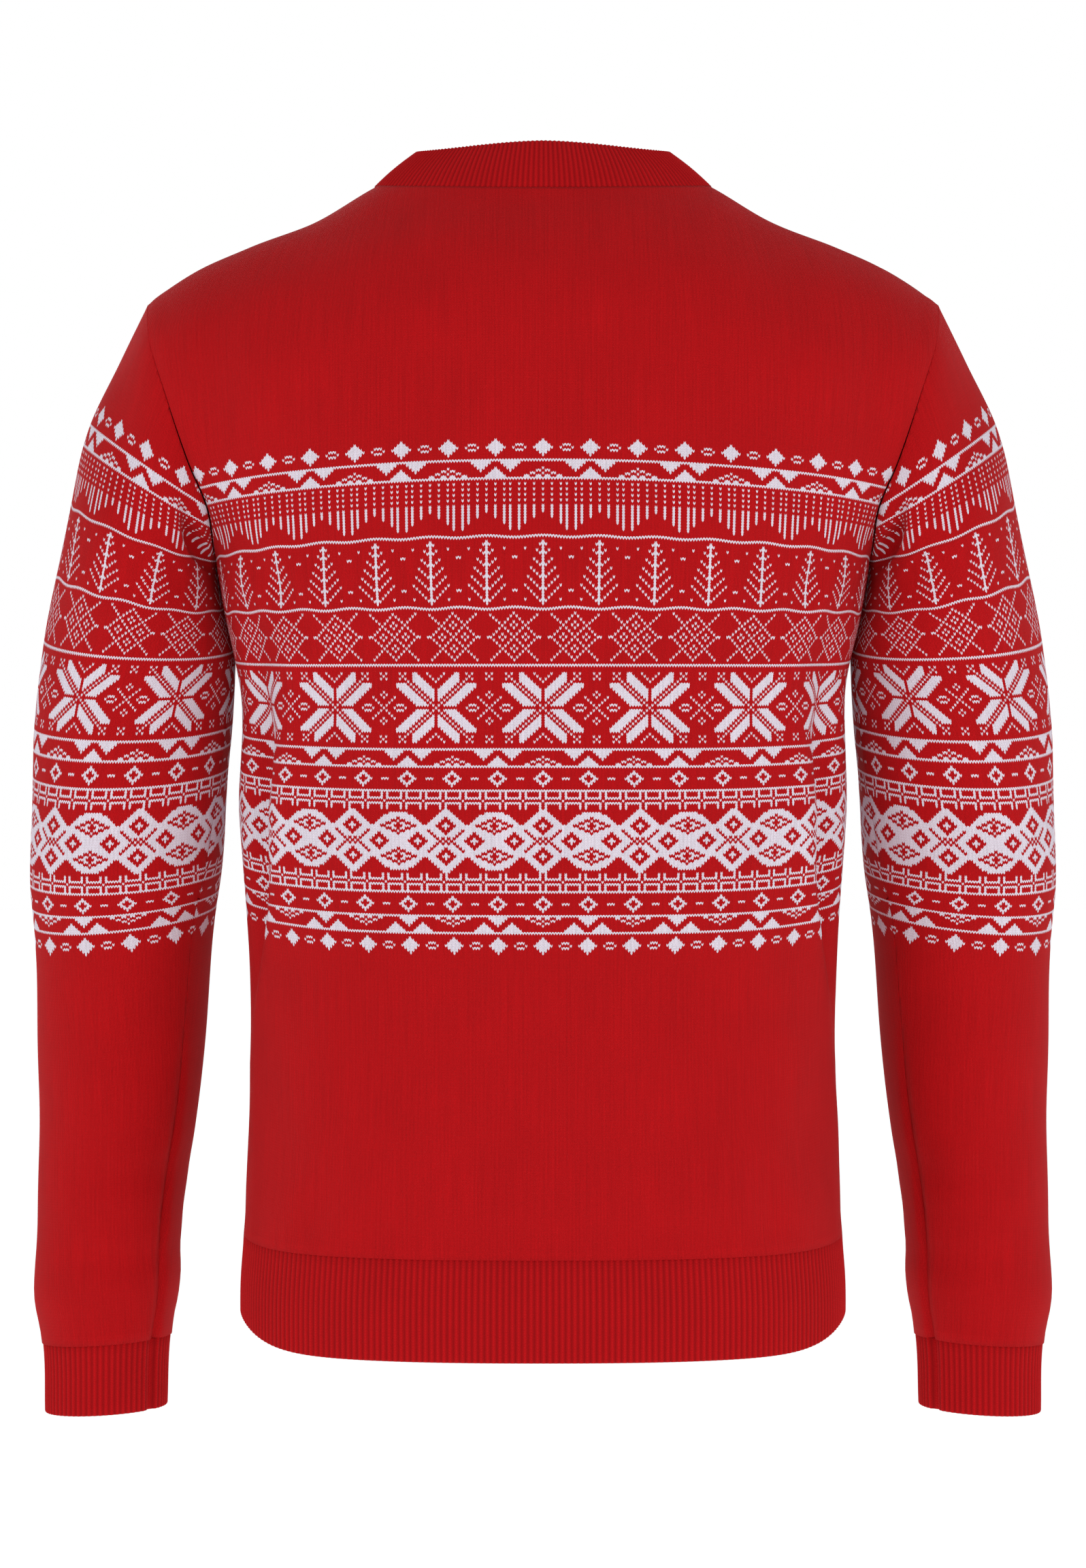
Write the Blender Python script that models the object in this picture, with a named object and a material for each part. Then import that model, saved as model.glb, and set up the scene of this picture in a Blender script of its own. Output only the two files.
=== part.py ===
"""Long-sleeved knitted Christmas jumper, filled out as if worn, hollow.

Metres, +Z up. The front faces -Y and the wearer's left side is +X. The origin is the middle of the
base of the neck, at the height where the shoulder seams meet the neckband: there the wearer's
shoulders hold the jumper up. Every piece is a thin wall with its true outline; the neck, the hem,
the cuffs and the armholes are open, and pieces that are sewn together stop SEAM_GAP apart.
"""

import math

import bmesh
import bpy
import numpy as np

# ---------------------------------------------------------------- driving sizes
PANEL_WALL = 0.0020
RIB_WALL = 0.0026
SEAM_GAP = 0.0003
ARMHOLE_GAP = 0.0006

HEM_SEAM_Z = -0.6007
HEM_SEAM_SIDE_RISE = 0.004
HEM_BOTTOM_Z = -0.6559
HEM_BOTTOM_SIDE_RISE = 0.0155
SIDE_RISE_POWER = 12

ARMPIT_Z = -0.2136
SHOULDER_Z = -0.0673
SHOULDER_X = 0.2252
NECK_HALF_WIDTH = 0.096
BACK_NECK_DROP = 0.009
FRONT_NECK_DROP = 0.075
BACK_NECK_POWER = 0.5
FRONT_NECK_POWER = 0.65
NECK_CENTRE_Y = -0.0135

BAND_RISE = 0.028
BAND_SIDE_RISE = 0.020
BAND_LEAN = 0.012
BAND_SIDE_LEAN = 0.025

ARMHOLE_BACK_DEPTH = 0.070
ARMHOLE_FRONT_DEPTH = 0.062

SECTION_POWER = 2.5
SHOULDER_ROUND = 0.10

FOLD_VALLEY = 0.013
FOLD_VALLEY_SPREAD = 0.0095
FOLD_RIDGE = 0.003
FOLD_RIDGE_SPREAD = 0.009
FOLD_VALLEY_SHARE = 0.6

DENT_DEPTH = 0.003
DENT_X = 0.182
DENT_Z = -0.132
DENT_SPREAD_X = 0.012
DENT_SPREAD_Z = 0.035

# The body's section above the armpit is worked out a little below the shoulder's end, and its side
# never takes up more than this share of its depth.
BELOW_SHOULDER = 1e-4
MOST_SHARE = 0.97
TINY = 1e-6

# Body stations, from the hem up: height, half-width at the side, depth of the back, depth of the front.
BODY_STATIONS = [
    (-0.660, 0.1722, 0.1130, 0.1185),
    (-0.622, 0.1722, 0.1110, 0.1170),
    (-0.599, 0.1706, 0.1080, 0.1150),
    (-0.574, 0.1700, 0.1090, 0.1160),
    (-0.519, 0.1677, 0.1080, 0.1170),
    (-0.461, 0.1673, 0.1070, 0.1170),
    (-0.410, 0.1692, 0.1080, 0.1180),
    (-0.360, 0.1735, 0.1100, 0.1200),
    (-0.282, 0.1735, 0.1150, 0.1240),
    (-0.245, 0.1810, 0.1180, 0.1240),
    (-0.2136, 0.1866, 0.1190, 0.1230),
    (-0.150, 0.1866, 0.1180, 0.1150),
    (-0.100, 0.1866, 0.1120, 0.1000),
    (-0.050, 0.1866, 0.0980, 0.0780),
    (0.000, 0.1866, 0.0750, 0.0600),
    (0.030, 0.1866, 0.0680, 0.0560),
]

# Shoulder line, from the middle of the neck outward: distance from the middle, height. It runs on
# inside the neck so that the back and front panels keep their roundness up to the neckband.
SHOULDER_STATIONS = [
    (0.000, 0.0265),
    (0.050, 0.0195),
    (0.096, 0.0000),
    (0.128, -0.0190),
    (0.168, -0.0354),
    (0.1995, -0.0494),
    (SHOULDER_X, SHOULDER_Z),
    (0.245, -0.0860),
]

# Armhole seam seen from behind, from the armpit up: height, distance from the middle.
ARMHOLE_STATIONS = [
    (ARMPIT_Z, 0.1866),
    (-0.1900, 0.1876),
    (-0.1632, 0.1975),
    (-0.1254, 0.2097),
    (-0.0916, 0.2206),
    (SHOULDER_Z, SHOULDER_X),
]

# Flank fold, from its foot up: height, distance of its ridge from the middle, strength.
FOLD_STATIONS = [
    (-0.500, 0.1660, 0.00),
    (-0.474, 0.1640, 0.15),
    (-0.449, 0.1595, 0.40),
    (-0.428, 0.1550, 0.75),
    (-0.408, 0.1510, 1.00),
    (-0.381, 0.1485, 1.00),
    (-0.347, 0.1465, 0.95),
    (-0.321, 0.1430, 0.75),
    (-0.285, 0.1385, 0.40),
    (-0.259, 0.1360, 0.15),
    (-0.235, 0.1340, 0.00),
]

# Sleeve courses, from the shoulder to the cuff: distance along the sleeve, outer point (x, z),
# inner point (x, z), middle (y), half-depth, drop of the back side against the middle.
SLEEVE_STATIONS = [
    (0.000, SHOULDER_X, SHOULDER_Z, 0.1410, -0.1390, 0.000, 0.0600, 0.000),
    (0.045, 0.2420, -0.1000, 0.1530, -0.1700, 0.000, 0.0640, 0.002),
    (0.085, 0.2585, -0.1365, 0.1660, -0.1990, 0.000, 0.0670, 0.004),
    (0.132, 0.2705, -0.1810, 0.1850, -0.2140, -0.003, 0.0690, 0.008),
    (0.168, 0.2790, -0.2210, 0.1852, -0.2410, -0.008, 0.0660, 0.010),
    (0.202, 0.2870, -0.2590, 0.1790, -0.2650, -0.014, 0.0610, 0.010),
    (0.250, 0.2945, -0.3090, 0.1790, -0.3080, -0.024, 0.0575, 0.010),
    (0.275, 0.2960, -0.3370, 0.1815, -0.3330, -0.029, 0.0560, 0.010),
    (0.332, 0.2985, -0.3990, 0.1870, -0.3920, -0.040, 0.0515, 0.009),
    (0.358, 0.2970, -0.4240, 0.1900, -0.4130, -0.045, 0.0500, 0.008),
    (0.400, 0.2960, -0.4700, 0.1950, -0.4600, -0.052, 0.0470, 0.006),
    (0.450, 0.2965, -0.5230, 0.2000, -0.5150, -0.058, 0.0440, 0.004),
    (0.520, 0.2975, -0.5950, 0.2110, -0.5890, -0.064, 0.0400, 0.002),
    (0.570, 0.2975, -0.6460, 0.2160, -0.6420, -0.067, 0.0365, 0.000),
    (0.590, 0.2945, -0.6700, 0.2195, -0.6650, -0.068, 0.0345, 0.000),
    (0.632, 0.2935, -0.7110, 0.2215, -0.7070, -0.069, 0.0320, 0.000),
]
CUFF_SEAM = 0.590
CUFF_END = 0.632
SLEEVE_EASE = 0.060

# Columns of a panel, from the middle to the side, as shares of its half-width: at the armpit and
# below, and along the neck and shoulder. NECK_COLUMNS of them end on the neckband.
LOW_COLUMNS = [0.0, 0.196, 0.380, 0.530, 0.645, 0.738, 0.807, 0.859, 0.902, 0.9366, 0.9625, 0.981,
               0.9925, 0.9983, 1.0]
NECK_COLUMNS = 6
NECK_SHARES = [0.0, 0.23, 0.45, 0.65, 0.81, 0.925, 1.0]
LOWER_ROWS = 11
ARMHOLE_ROWS = 9
SLEEVE_ROWS = 16
SLEEVE_ROW_GROWTH = 1.15
SLEEVE_SAMPLES = 600
SHARP_ANGLE = math.radians(50)
BAND_GAP = 0.00045
RIB_ROWS = 2

RED = (0.52, 0.010, 0.014, 1.0)
RIB_RED = (0.46, 0.008, 0.012, 1.0)


# ---------------------------------------------------------------- curves and surfaces
def smooth_curve(stations):
    """A smooth curve through stations given as (position, value, value, ...)."""
    table = np.array(stations, dtype=float)
    knots, values = table[:, 0], table[:, 1:]
    slopes = np.gradient(values, knots, axis=0)

    def at(position):
        p = np.clip(np.asarray(position, dtype=float), knots[0], knots[-1])
        i = np.clip(np.searchsorted(knots, p, side="right") - 1, 0, len(knots) - 2)
        step = knots[i + 1] - knots[i]
        t = ((p - knots[i]) / step)[..., None]
        step = step[..., None]
        return (
            (2 * t**3 - 3 * t**2 + 1) * values[i]
            + (t**3 - 2 * t**2 + t) * step * slopes[i]
            + (3 * t**2 - 2 * t**3) * values[i + 1]
            + (t**3 - t**2) * step * slopes[i + 1]
        )

    return at


body_sizes = smooth_curve(BODY_STATIONS)
shoulder_height = smooth_curve(SHOULDER_STATIONS)
armhole_reach = smooth_curve(ARMHOLE_STATIONS)
fold_course = smooth_curve(FOLD_STATIONS)
sleeve_course = smooth_curve(SLEEVE_STATIONS)


def bell(distance, spread):
    return np.exp(-0.5 * (distance / spread) ** 2)


def roundness(x, z):
    """How far the body has reached its full depth below the shoulder line: 0 on the line, then 1."""
    drop = np.clip((shoulder_height(np.abs(x))[..., 0] - z) / SHOULDER_ROUND, 0.0, 1.0)
    return np.sqrt(1.0 - (1.0 - drop) ** 2)


def armhole_depth(z, side):
    """Half-depth of the armhole loop at a height, behind (side 1) or in front (side -1)."""
    middle = (SHOULDER_Z + ARMPIT_Z) / 2
    reach = (SHOULDER_Z - ARMPIT_Z) / 2
    swing = np.clip((z - middle) / reach, -1.0, 1.0)
    depth = ARMHOLE_BACK_DEPTH if side > 0 else ARMHOLE_FRONT_DEPTH
    return depth * np.sqrt(1.0 - swing**2)


def body_half_width(z, side):
    """Half-width of the body's section. Above the armpit the section runs on into the sleeve."""
    sizes = body_sizes(z)
    depth = sizes[..., 1] if side > 0 else sizes[..., 2]
    height = np.clip(z, ARMPIT_Z, SHOULDER_Z - BELOW_SHOULDER)
    seam_x = armhole_reach(height)[..., 0]
    full = depth * roundness(seam_x, height)
    share = np.clip(armhole_depth(height, side) / full, 0.0, MOST_SHARE)
    above = seam_x / (1.0 - share**SECTION_POWER) ** (1.0 / SECTION_POWER)
    return np.where(z < ARMPIT_Z, sizes[..., 0], above)


def body_point(x, z, side):
    """Point of the cloth's outer face at (x, z), behind (side 1) or in front (side -1)."""
    x, z = np.broadcast_arrays(np.asarray(x, dtype=float), np.asarray(z, dtype=float))
    sizes = body_sizes(z)
    full = (sizes[..., 1] if side > 0 else sizes[..., 2]) * np.maximum(roundness(x, z), TINY)
    width = body_half_width(z, side)
    across = np.clip(np.abs(x) / width, 0.0, 1.0)
    inward = np.clip(1.0 - across**SECTION_POWER, 0.0, 1.0) ** (1.0 / SECTION_POWER)
    y = full * inward
    normal_x = across ** (SECTION_POWER - 1) / width
    normal_y = inward ** (SECTION_POWER - 1) / full
    length = np.hypot(normal_x, normal_y)
    push = np.zeros_like(y)
    if side > 0:
        push = flank_fold(np.abs(x), y, z, full, width) - DENT_DEPTH * bell(
            np.abs(x) - DENT_X, DENT_SPREAD_X
        ) * bell(z - DENT_Z, DENT_SPREAD_Z)
    out_x = np.abs(x) + push * normal_x / length
    out_y = y + push * normal_y / length
    return np.stack([np.copysign(out_x, x), side * out_y, z], axis=-1)


def flank_fold(x, y, z, full, width):
    """The soft fold down each flank of the back: a ridge, and the valley outside it."""
    course = fold_course(z)
    ridge_x, strength = course[..., 0], course[..., 1]
    valley_x = ridge_x + (width - ridge_x) * FOLD_VALLEY_SHARE

    def distance(place):
        share = np.clip(place / width, 0.0, 1.0)
        return np.hypot(x - place, y - full * (1.0 - share**SECTION_POWER) ** (1.0 / SECTION_POWER))

    ridge = FOLD_RIDGE * bell(distance(ridge_x), FOLD_RIDGE_SPREAD)
    valley = FOLD_VALLEY * bell(distance(valley_x), FOLD_VALLEY_SPREAD)
    return strength * (ridge - valley)


def neck_height(x, side):
    """Height of the neck seam at a distance from the middle."""
    drop = BACK_NECK_DROP if side > 0 else FRONT_NECK_DROP
    power = BACK_NECK_POWER if side > 0 else FRONT_NECK_POWER
    return -drop * np.clip(1.0 - (x / NECK_HALF_WIDTH) ** 2, 0.0, 1.0) ** power


def sleeve_point(distance, turn):
    """Point of the left sleeve's outer face. turn is 0 outside, a quarter behind, a half inside."""
    distance, turn = np.broadcast_arrays(np.asarray(distance, float), np.asarray(turn, float))
    course = sleeve_course(distance)
    outer, inner = course[..., 0:2], course[..., 2:4]
    middle, half = (outer + inner) / 2, (outer - inner) / 2
    angle = 2 * math.pi * turn
    depth = np.sin(angle) * course[..., 5]
    x = middle[..., 0] + np.cos(angle) * half[..., 0]
    z = middle[..., 1] + np.cos(angle) * half[..., 1] - np.sin(angle) * course[..., 6]
    return np.stack([x, course[..., 4] + depth, z], axis=-1)


def armhole_point(z, side):
    return body_point(armhole_reach(z)[..., 0], z, side)


# ---------------------------------------------------------------- meshes
def unit(vectors):
    return vectors / np.linalg.norm(vectors, axis=-1, keepdims=True)


def grid_normals(points, closed, outward):
    """Normals of a grid of points (rows, columns), on the side that `outward` says."""
    if closed:
        across = np.roll(points, -1, axis=1) - np.roll(points, 1, axis=1)
    else:
        across = np.gradient(points, axis=1)
    normals = unit(np.cross(across, np.gradient(points, axis=0)))
    sign = np.sign(np.sum(normals * outward))
    return normals * sign


def wall(name, outer, inner, closed, material):
    """A closed wall between two grids of points. `closed` joins the last column to the first."""
    rows, columns = outer.shape[:2]
    mesh_maker = bmesh.new()
    layers = [
        [[mesh_maker.verts.new(layer[r, c]) for c in range(columns)] for r in range(rows)]
        for layer in (outer, inner)
    ]
    last = columns if closed else columns - 1
    for verts in layers:
        for r in range(rows - 1):
            for c in range(last):
                d = (c + 1) % columns
                mesh_maker.faces.new((verts[r][c], verts[r][d], verts[r + 1][d], verts[r + 1][c]))
    out, into = layers
    for r in (0, rows - 1):
        for c in range(last):
            d = (c + 1) % columns
            mesh_maker.faces.new((out[r][c], out[r][d], into[r][d], into[r][c]))
    if not closed:
        for c in (0, columns - 1):
            for r in range(rows - 1):
                mesh_maker.faces.new((out[r][c], out[r + 1][c], into[r + 1][c], into[r][c]))
    bmesh.ops.recalc_face_normals(mesh_maker, faces=mesh_maker.faces)
    mesh = bpy.data.meshes.new(name)
    mesh_maker.to_mesh(mesh)
    mesh_maker.free()
    mesh.materials.append(material)
    mesh.shade_smooth()
    mesh.set_sharp_from_angle(angle=SHARP_ANGLE)
    piece = bpy.data.objects.new(name, mesh)
    bpy.context.collection.objects.link(piece)
    return piece


def knit_material(name, colour):
    material = bpy.data.materials.new(name)
    material.use_nodes = True
    shader = material.node_tree.nodes["Principled BSDF"]
    shader.inputs["Base Color"].default_value = colour
    shader.inputs["Roughness"].default_value = 0.9
    shader.inputs["Metallic"].default_value = 0.0
    material.diffuse_color = colour
    return material


# ---------------------------------------------------------------- the pieces
def top_columns():
    """Columns along the neck and the shoulder, as distances from the middle."""
    neck = [NECK_HALF_WIDTH * share for share in NECK_SHARES]
    steps = len(LOW_COLUMNS) - 1 - NECK_COLUMNS
    run = SHOULDER_X - NECK_HALF_WIDTH
    return np.array(neck + [NECK_HALF_WIDTH + run * (i + 1) / steps for i in range(steps)])


def mirrored(half):
    """A list from the middle outward, continued to the other side of the middle."""
    return np.concatenate([-half[:0:-1], half])


def armhole_heights():
    """Heights of the armhole's points from the armpit to the shoulder, evenly round the loop."""
    middle = (SHOULDER_Z + ARMPIT_Z) / 2
    reach = (SHOULDER_Z - ARMPIT_Z) / 2
    steps = np.arange(ARMHOLE_ROWS + 1) / ARMHOLE_ROWS
    return middle - reach * np.cos(math.pi * steps)


def panel_grid(side):
    """Outer points of the back (side 1) or the front (side -1), from the hem seam to the top."""
    low = mirrored(np.array(LOW_COLUMNS))
    top = mirrored(top_columns())
    top_z = np.where(
        np.abs(top) <= NECK_HALF_WIDTH + TINY,
        neck_height(top, side),
        shoulder_height(np.abs(top))[..., 0],
    )
    rows = []
    seam_z = HEM_SEAM_Z + HEM_SEAM_SIDE_RISE * np.abs(low) ** SIDE_RISE_POWER
    for r in range(LOWER_ROWS):
        z = seam_z + (ARMPIT_Z - seam_z) * r / LOWER_ROWS
        rows.append(body_point(low * body_half_width(z, side), z, side))
    for edge_z in armhole_heights():
        up = (edge_z - ARMPIT_Z) / (SHOULDER_Z - ARMPIT_Z)
        share = (1 - up) * low + up * top / SHOULDER_X
        z = ARMPIT_Z + (top_z - ARMPIT_Z) * up
        rows.append(body_point(share * armhole_reach(edge_z)[..., 0], z, side))
    return np.array(rows)


def keep_seam_gap(points, side):
    """Holds a panel's side seams and shoulder seams half a gap from the middle plane."""
    points[..., 1] = side * np.maximum(side * points[..., 1], SEAM_GAP / 2)
    return points


def panel_normals(outer, side):
    """Normals of a panel, turned into the seam's plane where two panels meet."""
    normals = grid_normals(outer, False, np.array([0.0, side, 0.0]))
    normals[: LOWER_ROWS + 1, (0, -1), 1] = 0.0
    on_shoulder = np.abs(outer[-1, :, 0]) > NECK_HALF_WIDTH - TINY
    normals[-1, on_shoulder, 1] = 0.0
    return unit(normals)


def shared_edge(normals, other):
    """Normals for an edge that meets another edge: halfway between both, unless they face apart."""
    agreement = np.clip(2 * np.sum(normals * other, axis=-1, keepdims=True), 0.0, 1.0)
    return unit(normals + agreement * other)


def make_panel(name, side, outer, normals, sleeve_edge, material):
    """sleeve_edge holds the left sleeve's normals up the armhole, from the armpit to the shoulder."""
    armhole = slice(LOWER_ROWS, None)
    mirror = np.array([-1.0, 1.0, 1.0])
    rims = normals.copy()
    rims[armhole, -1] = shared_edge(normals[armhole, -1], sleeve_edge)
    rims[armhole, 0] = shared_edge(normals[armhole, 0], sleeve_edge * mirror)
    inner = outer - PANEL_WALL * rims
    wall(name, keep_seam_gap(outer, side), keep_seam_gap(inner, side), False, material)
    return outer, inner


def ring(back_row, front_row):
    """Joins a row of the back and a row of the front, each from -X to +X, into one ring."""
    return np.concatenate([back_row, front_row[-2:0:-1]])


def ring_sides(row):
    """One ring of the body's section at the columns of the panels."""
    return ring(row(1), row(-1))


def make_hem(material):
    """The ribbed hem, one tube from the panels' lower edge to the bottom."""
    low = mirrored(np.array(LOW_COLUMNS))
    rise = np.abs(low) ** SIDE_RISE_POWER
    seam_z = HEM_SEAM_Z + HEM_SEAM_SIDE_RISE * rise - SEAM_GAP
    bottom_z = HEM_BOTTOM_Z + HEM_BOTTOM_SIDE_RISE * rise
    rows = []
    for r in range(RIB_ROWS + 1):
        z = seam_z + (bottom_z - seam_z) * r / RIB_ROWS
        rows.append(ring_sides(lambda side: body_point(low * body_half_width(z, side), z, side)))
    outer = np.array(rows)
    normals = grid_normals(outer, True, outer * (1.0, 1.0, 0.0))
    wall("hem_rib", outer, outer - RIB_WALL * normals, True, material)


def make_neckband(back, front, material):
    """The ribbed neckband, leaning inward from the panels' neck edge."""
    middle = len(LOW_COLUMNS) - 1
    neck = slice(middle - NECK_COLUMNS, middle + NECK_COLUMNS + 1)
    seam_out = ring(back[0][-1, neck], front[0][-1, neck])
    seam_in = ring(back[1][-1, neck], front[1][-1, neck])
    for edge in (seam_out, seam_in):
        for i in (0, 2 * NECK_COLUMNS):
            edge[i, 1] = 0.0
    inward = seam_out * (-1.0, -1.0, 0.0) + (0.0, NECK_CENTRE_Y, 0.0)
    inward = unit(inward)
    sideways = inward[:, :1] ** 2
    lean = BAND_LEAN + (BAND_SIDE_LEAN - BAND_LEAN) * sideways
    rise = BAND_RISE + (BAND_SIDE_RISE - BAND_RISE) * sideways
    climb = inward * lean + rise * (0.0, 0.0, 1.0)
    away = -inward * rise + lean * (0.0, 0.0, 1.0)
    start = BAND_GAP * unit(climb)
    outer, inner = [], []
    for r in range(RIB_ROWS + 1):
        up = r / RIB_ROWS
        outer.append(seam_out + start + climb * up)
        thick_seam = seam_in - seam_out
        thick_top = -RIB_WALL * unit(away)
        inner.append(outer[-1] + thick_seam * (1 - up) + thick_top * up)
    wall("neckband", np.array(outer), np.array(inner), True, material)


def armhole_loop():
    """The armhole's points from the shoulder, down behind, to the armpit, and up in front."""
    heights = armhole_heights()
    behind = armhole_point(heights[::-1], 1)
    before = armhole_point(heights[1:-1], -1)
    return np.concatenate([behind, before])


def place_on_sleeve(point):
    """The distance and turn of the sleeve's course that goes through a point of the armhole."""
    distances = np.linspace(0.0, CUFF_SEAM, SLEEVE_SAMPLES)
    course = sleeve_course(distances)
    middle = (course[:, 0:2] + course[:, 2:4]) / 2
    half = (course[:, 0:2] - course[:, 2:4]) / 2
    across = unit(half)
    sine = (point[1] - course[:, 4]) / course[:, 5]
    away = np.stack([point[0] - middle[:, 0], point[2] + sine * course[:, 6] - middle[:, 1]], axis=-1)
    off_plane = away[:, 0] * across[:, 1] - away[:, 1] * across[:, 0]
    i = int(np.argmin(np.abs(off_plane)))
    cosine = np.sum(away[i] * across[i]) / np.linalg.norm(half[i])
    return distances[i], math.atan2(sine[i], cosine) / (2 * math.pi)


def sleeve_grid():
    """Outer points of the left sleeve: columns start on the armhole and run to the cuff seam."""
    columns = []
    for point in armhole_loop():
        start, turn = place_on_sleeve(point)
        shares = np.linspace(0.0, 1.0, SLEEVE_ROWS + 1) ** SLEEVE_ROW_GROWTH
        distances = start + (CUFF_SEAM - start) * shares
        run = sleeve_point(distances, turn)
        ease = np.clip(1.0 - (distances - start) / SLEEVE_EASE, 0.0, 1.0)
        blend = ease**2 * (3 - 2 * ease)
        columns.append(run + blend[:, None] * (point - run[0]))
    return np.array(columns).transpose(1, 0, 2)


def tube_normals(points):
    middle = points.mean(axis=1, keepdims=True)
    return grid_normals(points, True, points - middle)


def round_armhole(behind, before):
    """Joins values up the back of the armhole and up its front into the order of armhole_loop."""
    return np.concatenate([behind[::-1], before[1:-1]])


def make_sleeves(outer, normals, panel_edge, material, rib_material):
    """panel_edge holds the panels' normals round the left armhole."""
    rims = normals.copy()
    rims[0] = shared_edge(normals[0], panel_edge)
    inner = outer - PANEL_WALL * rims
    clear = ARMHOLE_GAP * (unit(outer[1] - outer[0]) + (panel_edge - normals[0]) / 2)
    outer[0] += clear
    inner[0] += clear
    turns = np.array([place_on_sleeve(point)[1] for point in armhole_loop()])
    start = CUFF_SEAM + SEAM_GAP
    distances = start + (CUFF_END - start) * np.arange(RIB_ROWS + 1) / RIB_ROWS
    cuff = sleeve_point(distances[:, None], turns[None, :])
    cuff_inner = cuff - RIB_WALL * tube_normals(cuff)
    for name, mirror in (("left", (1, 1, 1)), ("right", (-1, 1, 1))):
        wall("sleeve_" + name, outer * mirror, inner * mirror, True, material)
        wall("cuff_" + name, cuff * mirror, cuff_inner * mirror, True, rib_material)


def main():
    for thing in list(bpy.data.objects):
        bpy.data.objects.remove(thing, do_unlink=True)
    cloth = knit_material("knit", RED)
    rib = knit_material("rib", RIB_RED)

    back_outer, front_outer, sleeve_outer = panel_grid(1), panel_grid(-1), sleeve_grid()
    back_normals, front_normals = panel_normals(back_outer, 1), panel_normals(front_outer, -1)
    sleeve_normals = tube_normals(sleeve_outer)
    up_behind = sleeve_normals[0, ARMHOLE_ROWS::-1]
    up_before = np.concatenate([sleeve_normals[0, ARMHOLE_ROWS:], sleeve_normals[0, :1]])
    round_panels = round_armhole(back_normals[LOWER_ROWS:, -1], front_normals[LOWER_ROWS:, -1])

    back = make_panel("back", 1, back_outer, back_normals, up_behind, cloth)
    front = make_panel("front", -1, front_outer, front_normals, up_before, cloth)
    make_hem(rib)
    make_neckband(back, front, rib)
    make_sleeves(sleeve_outer, sleeve_normals, round_panels, cloth, rib)


main()
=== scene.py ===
"""The looks of the knitted Christmas jumper: shells with a charted band, and ribs.

Metres, +Z up, in the frame of the part: the front faces -Y and the wearer's left side is +X.
The sizes and curves of the cloth repeat the part's own, so every shell lies on its solid.
"""

import math

import bmesh
import bpy
import numpy as np
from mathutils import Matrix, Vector


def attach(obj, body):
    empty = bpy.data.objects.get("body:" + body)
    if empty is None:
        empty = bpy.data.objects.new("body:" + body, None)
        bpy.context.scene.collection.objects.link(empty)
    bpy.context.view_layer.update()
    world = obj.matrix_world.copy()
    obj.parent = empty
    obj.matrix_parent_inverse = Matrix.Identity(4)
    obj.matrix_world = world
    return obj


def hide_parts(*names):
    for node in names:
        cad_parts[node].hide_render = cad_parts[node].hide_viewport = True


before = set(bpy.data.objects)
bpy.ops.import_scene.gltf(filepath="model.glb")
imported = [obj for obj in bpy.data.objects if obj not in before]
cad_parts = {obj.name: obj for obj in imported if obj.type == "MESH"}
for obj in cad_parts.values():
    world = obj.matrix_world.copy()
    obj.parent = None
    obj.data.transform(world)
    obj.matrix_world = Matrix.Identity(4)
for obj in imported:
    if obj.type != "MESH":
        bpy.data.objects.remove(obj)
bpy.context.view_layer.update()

# ---------------------------------------------------------------- the part's own sizes
HEM_SEAM_Z = -0.6007
HEM_SEAM_SIDE_RISE = 0.004
HEM_BOTTOM_Z = -0.6559
HEM_BOTTOM_SIDE_RISE = 0.0155
SIDE_RISE_POWER = 12
ARMPIT_Z = -0.2136
SHOULDER_Z = -0.0673
SHOULDER_X = 0.2252
NECK_HALF_WIDTH = 0.096
NECK_DROP = {1: 0.009, -1: 0.075}
NECK_POWER = {1: 0.5, -1: 0.65}
NECK_CENTRE_Y = -0.0135
BAND_RISE = 0.028
BAND_SIDE_RISE = 0.020
BAND_LEAN = 0.012
BAND_SIDE_LEAN = 0.025
ARMHOLE_DEPTH = {1: 0.070, -1: 0.062}
SECTION_POWER = 2.5
SHOULDER_ROUND = 0.10
FOLD_VALLEY = 0.013
FOLD_VALLEY_SPREAD = 0.0095
FOLD_RIDGE = 0.003
FOLD_RIDGE_SPREAD = 0.009
FOLD_VALLEY_SHARE = 0.6
DENT_DEPTH = 0.003
DENT_X = 0.182
DENT_Z = -0.132
DENT_SPREAD_X = 0.012
DENT_SPREAD_Z = 0.035
CUFF_SEAM = 0.590
CUFF_END = 0.632
SLEEVE_EASE = 0.060
BELOW_SHOULDER = 1e-4
MOST_SHARE = 0.97
TINY = 1e-6
ARMHOLE_MIDDLE = (SHOULDER_Z + ARMPIT_Z) / 2
ARMHOLE_REACH = (SHOULDER_Z - ARMPIT_Z) / 2
ARMHOLE_SAMPLES = 180
SLEEVE_SAMPLES = 2400

# Body: height, half-width at the side, depth of the back, depth of the front.
BODY_STATIONS = [
    (-0.660, 0.1722, 0.1130, 0.1185),
    (-0.622, 0.1722, 0.1110, 0.1170),
    (-0.599, 0.1706, 0.1080, 0.1150),
    (-0.574, 0.1700, 0.1090, 0.1160),
    (-0.519, 0.1677, 0.1080, 0.1170),
    (-0.461, 0.1673, 0.1070, 0.1170),
    (-0.410, 0.1692, 0.1080, 0.1180),
    (-0.360, 0.1735, 0.1100, 0.1200),
    (-0.282, 0.1735, 0.1150, 0.1240),
    (-0.245, 0.1810, 0.1180, 0.1240),
    (-0.2136, 0.1866, 0.1190, 0.1230),
    (-0.150, 0.1866, 0.1180, 0.1150),
    (-0.100, 0.1866, 0.1120, 0.1000),
    (-0.050, 0.1866, 0.0980, 0.0780),
    (0.000, 0.1866, 0.0750, 0.0600),
    (0.030, 0.1866, 0.0680, 0.0560),
]

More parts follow.
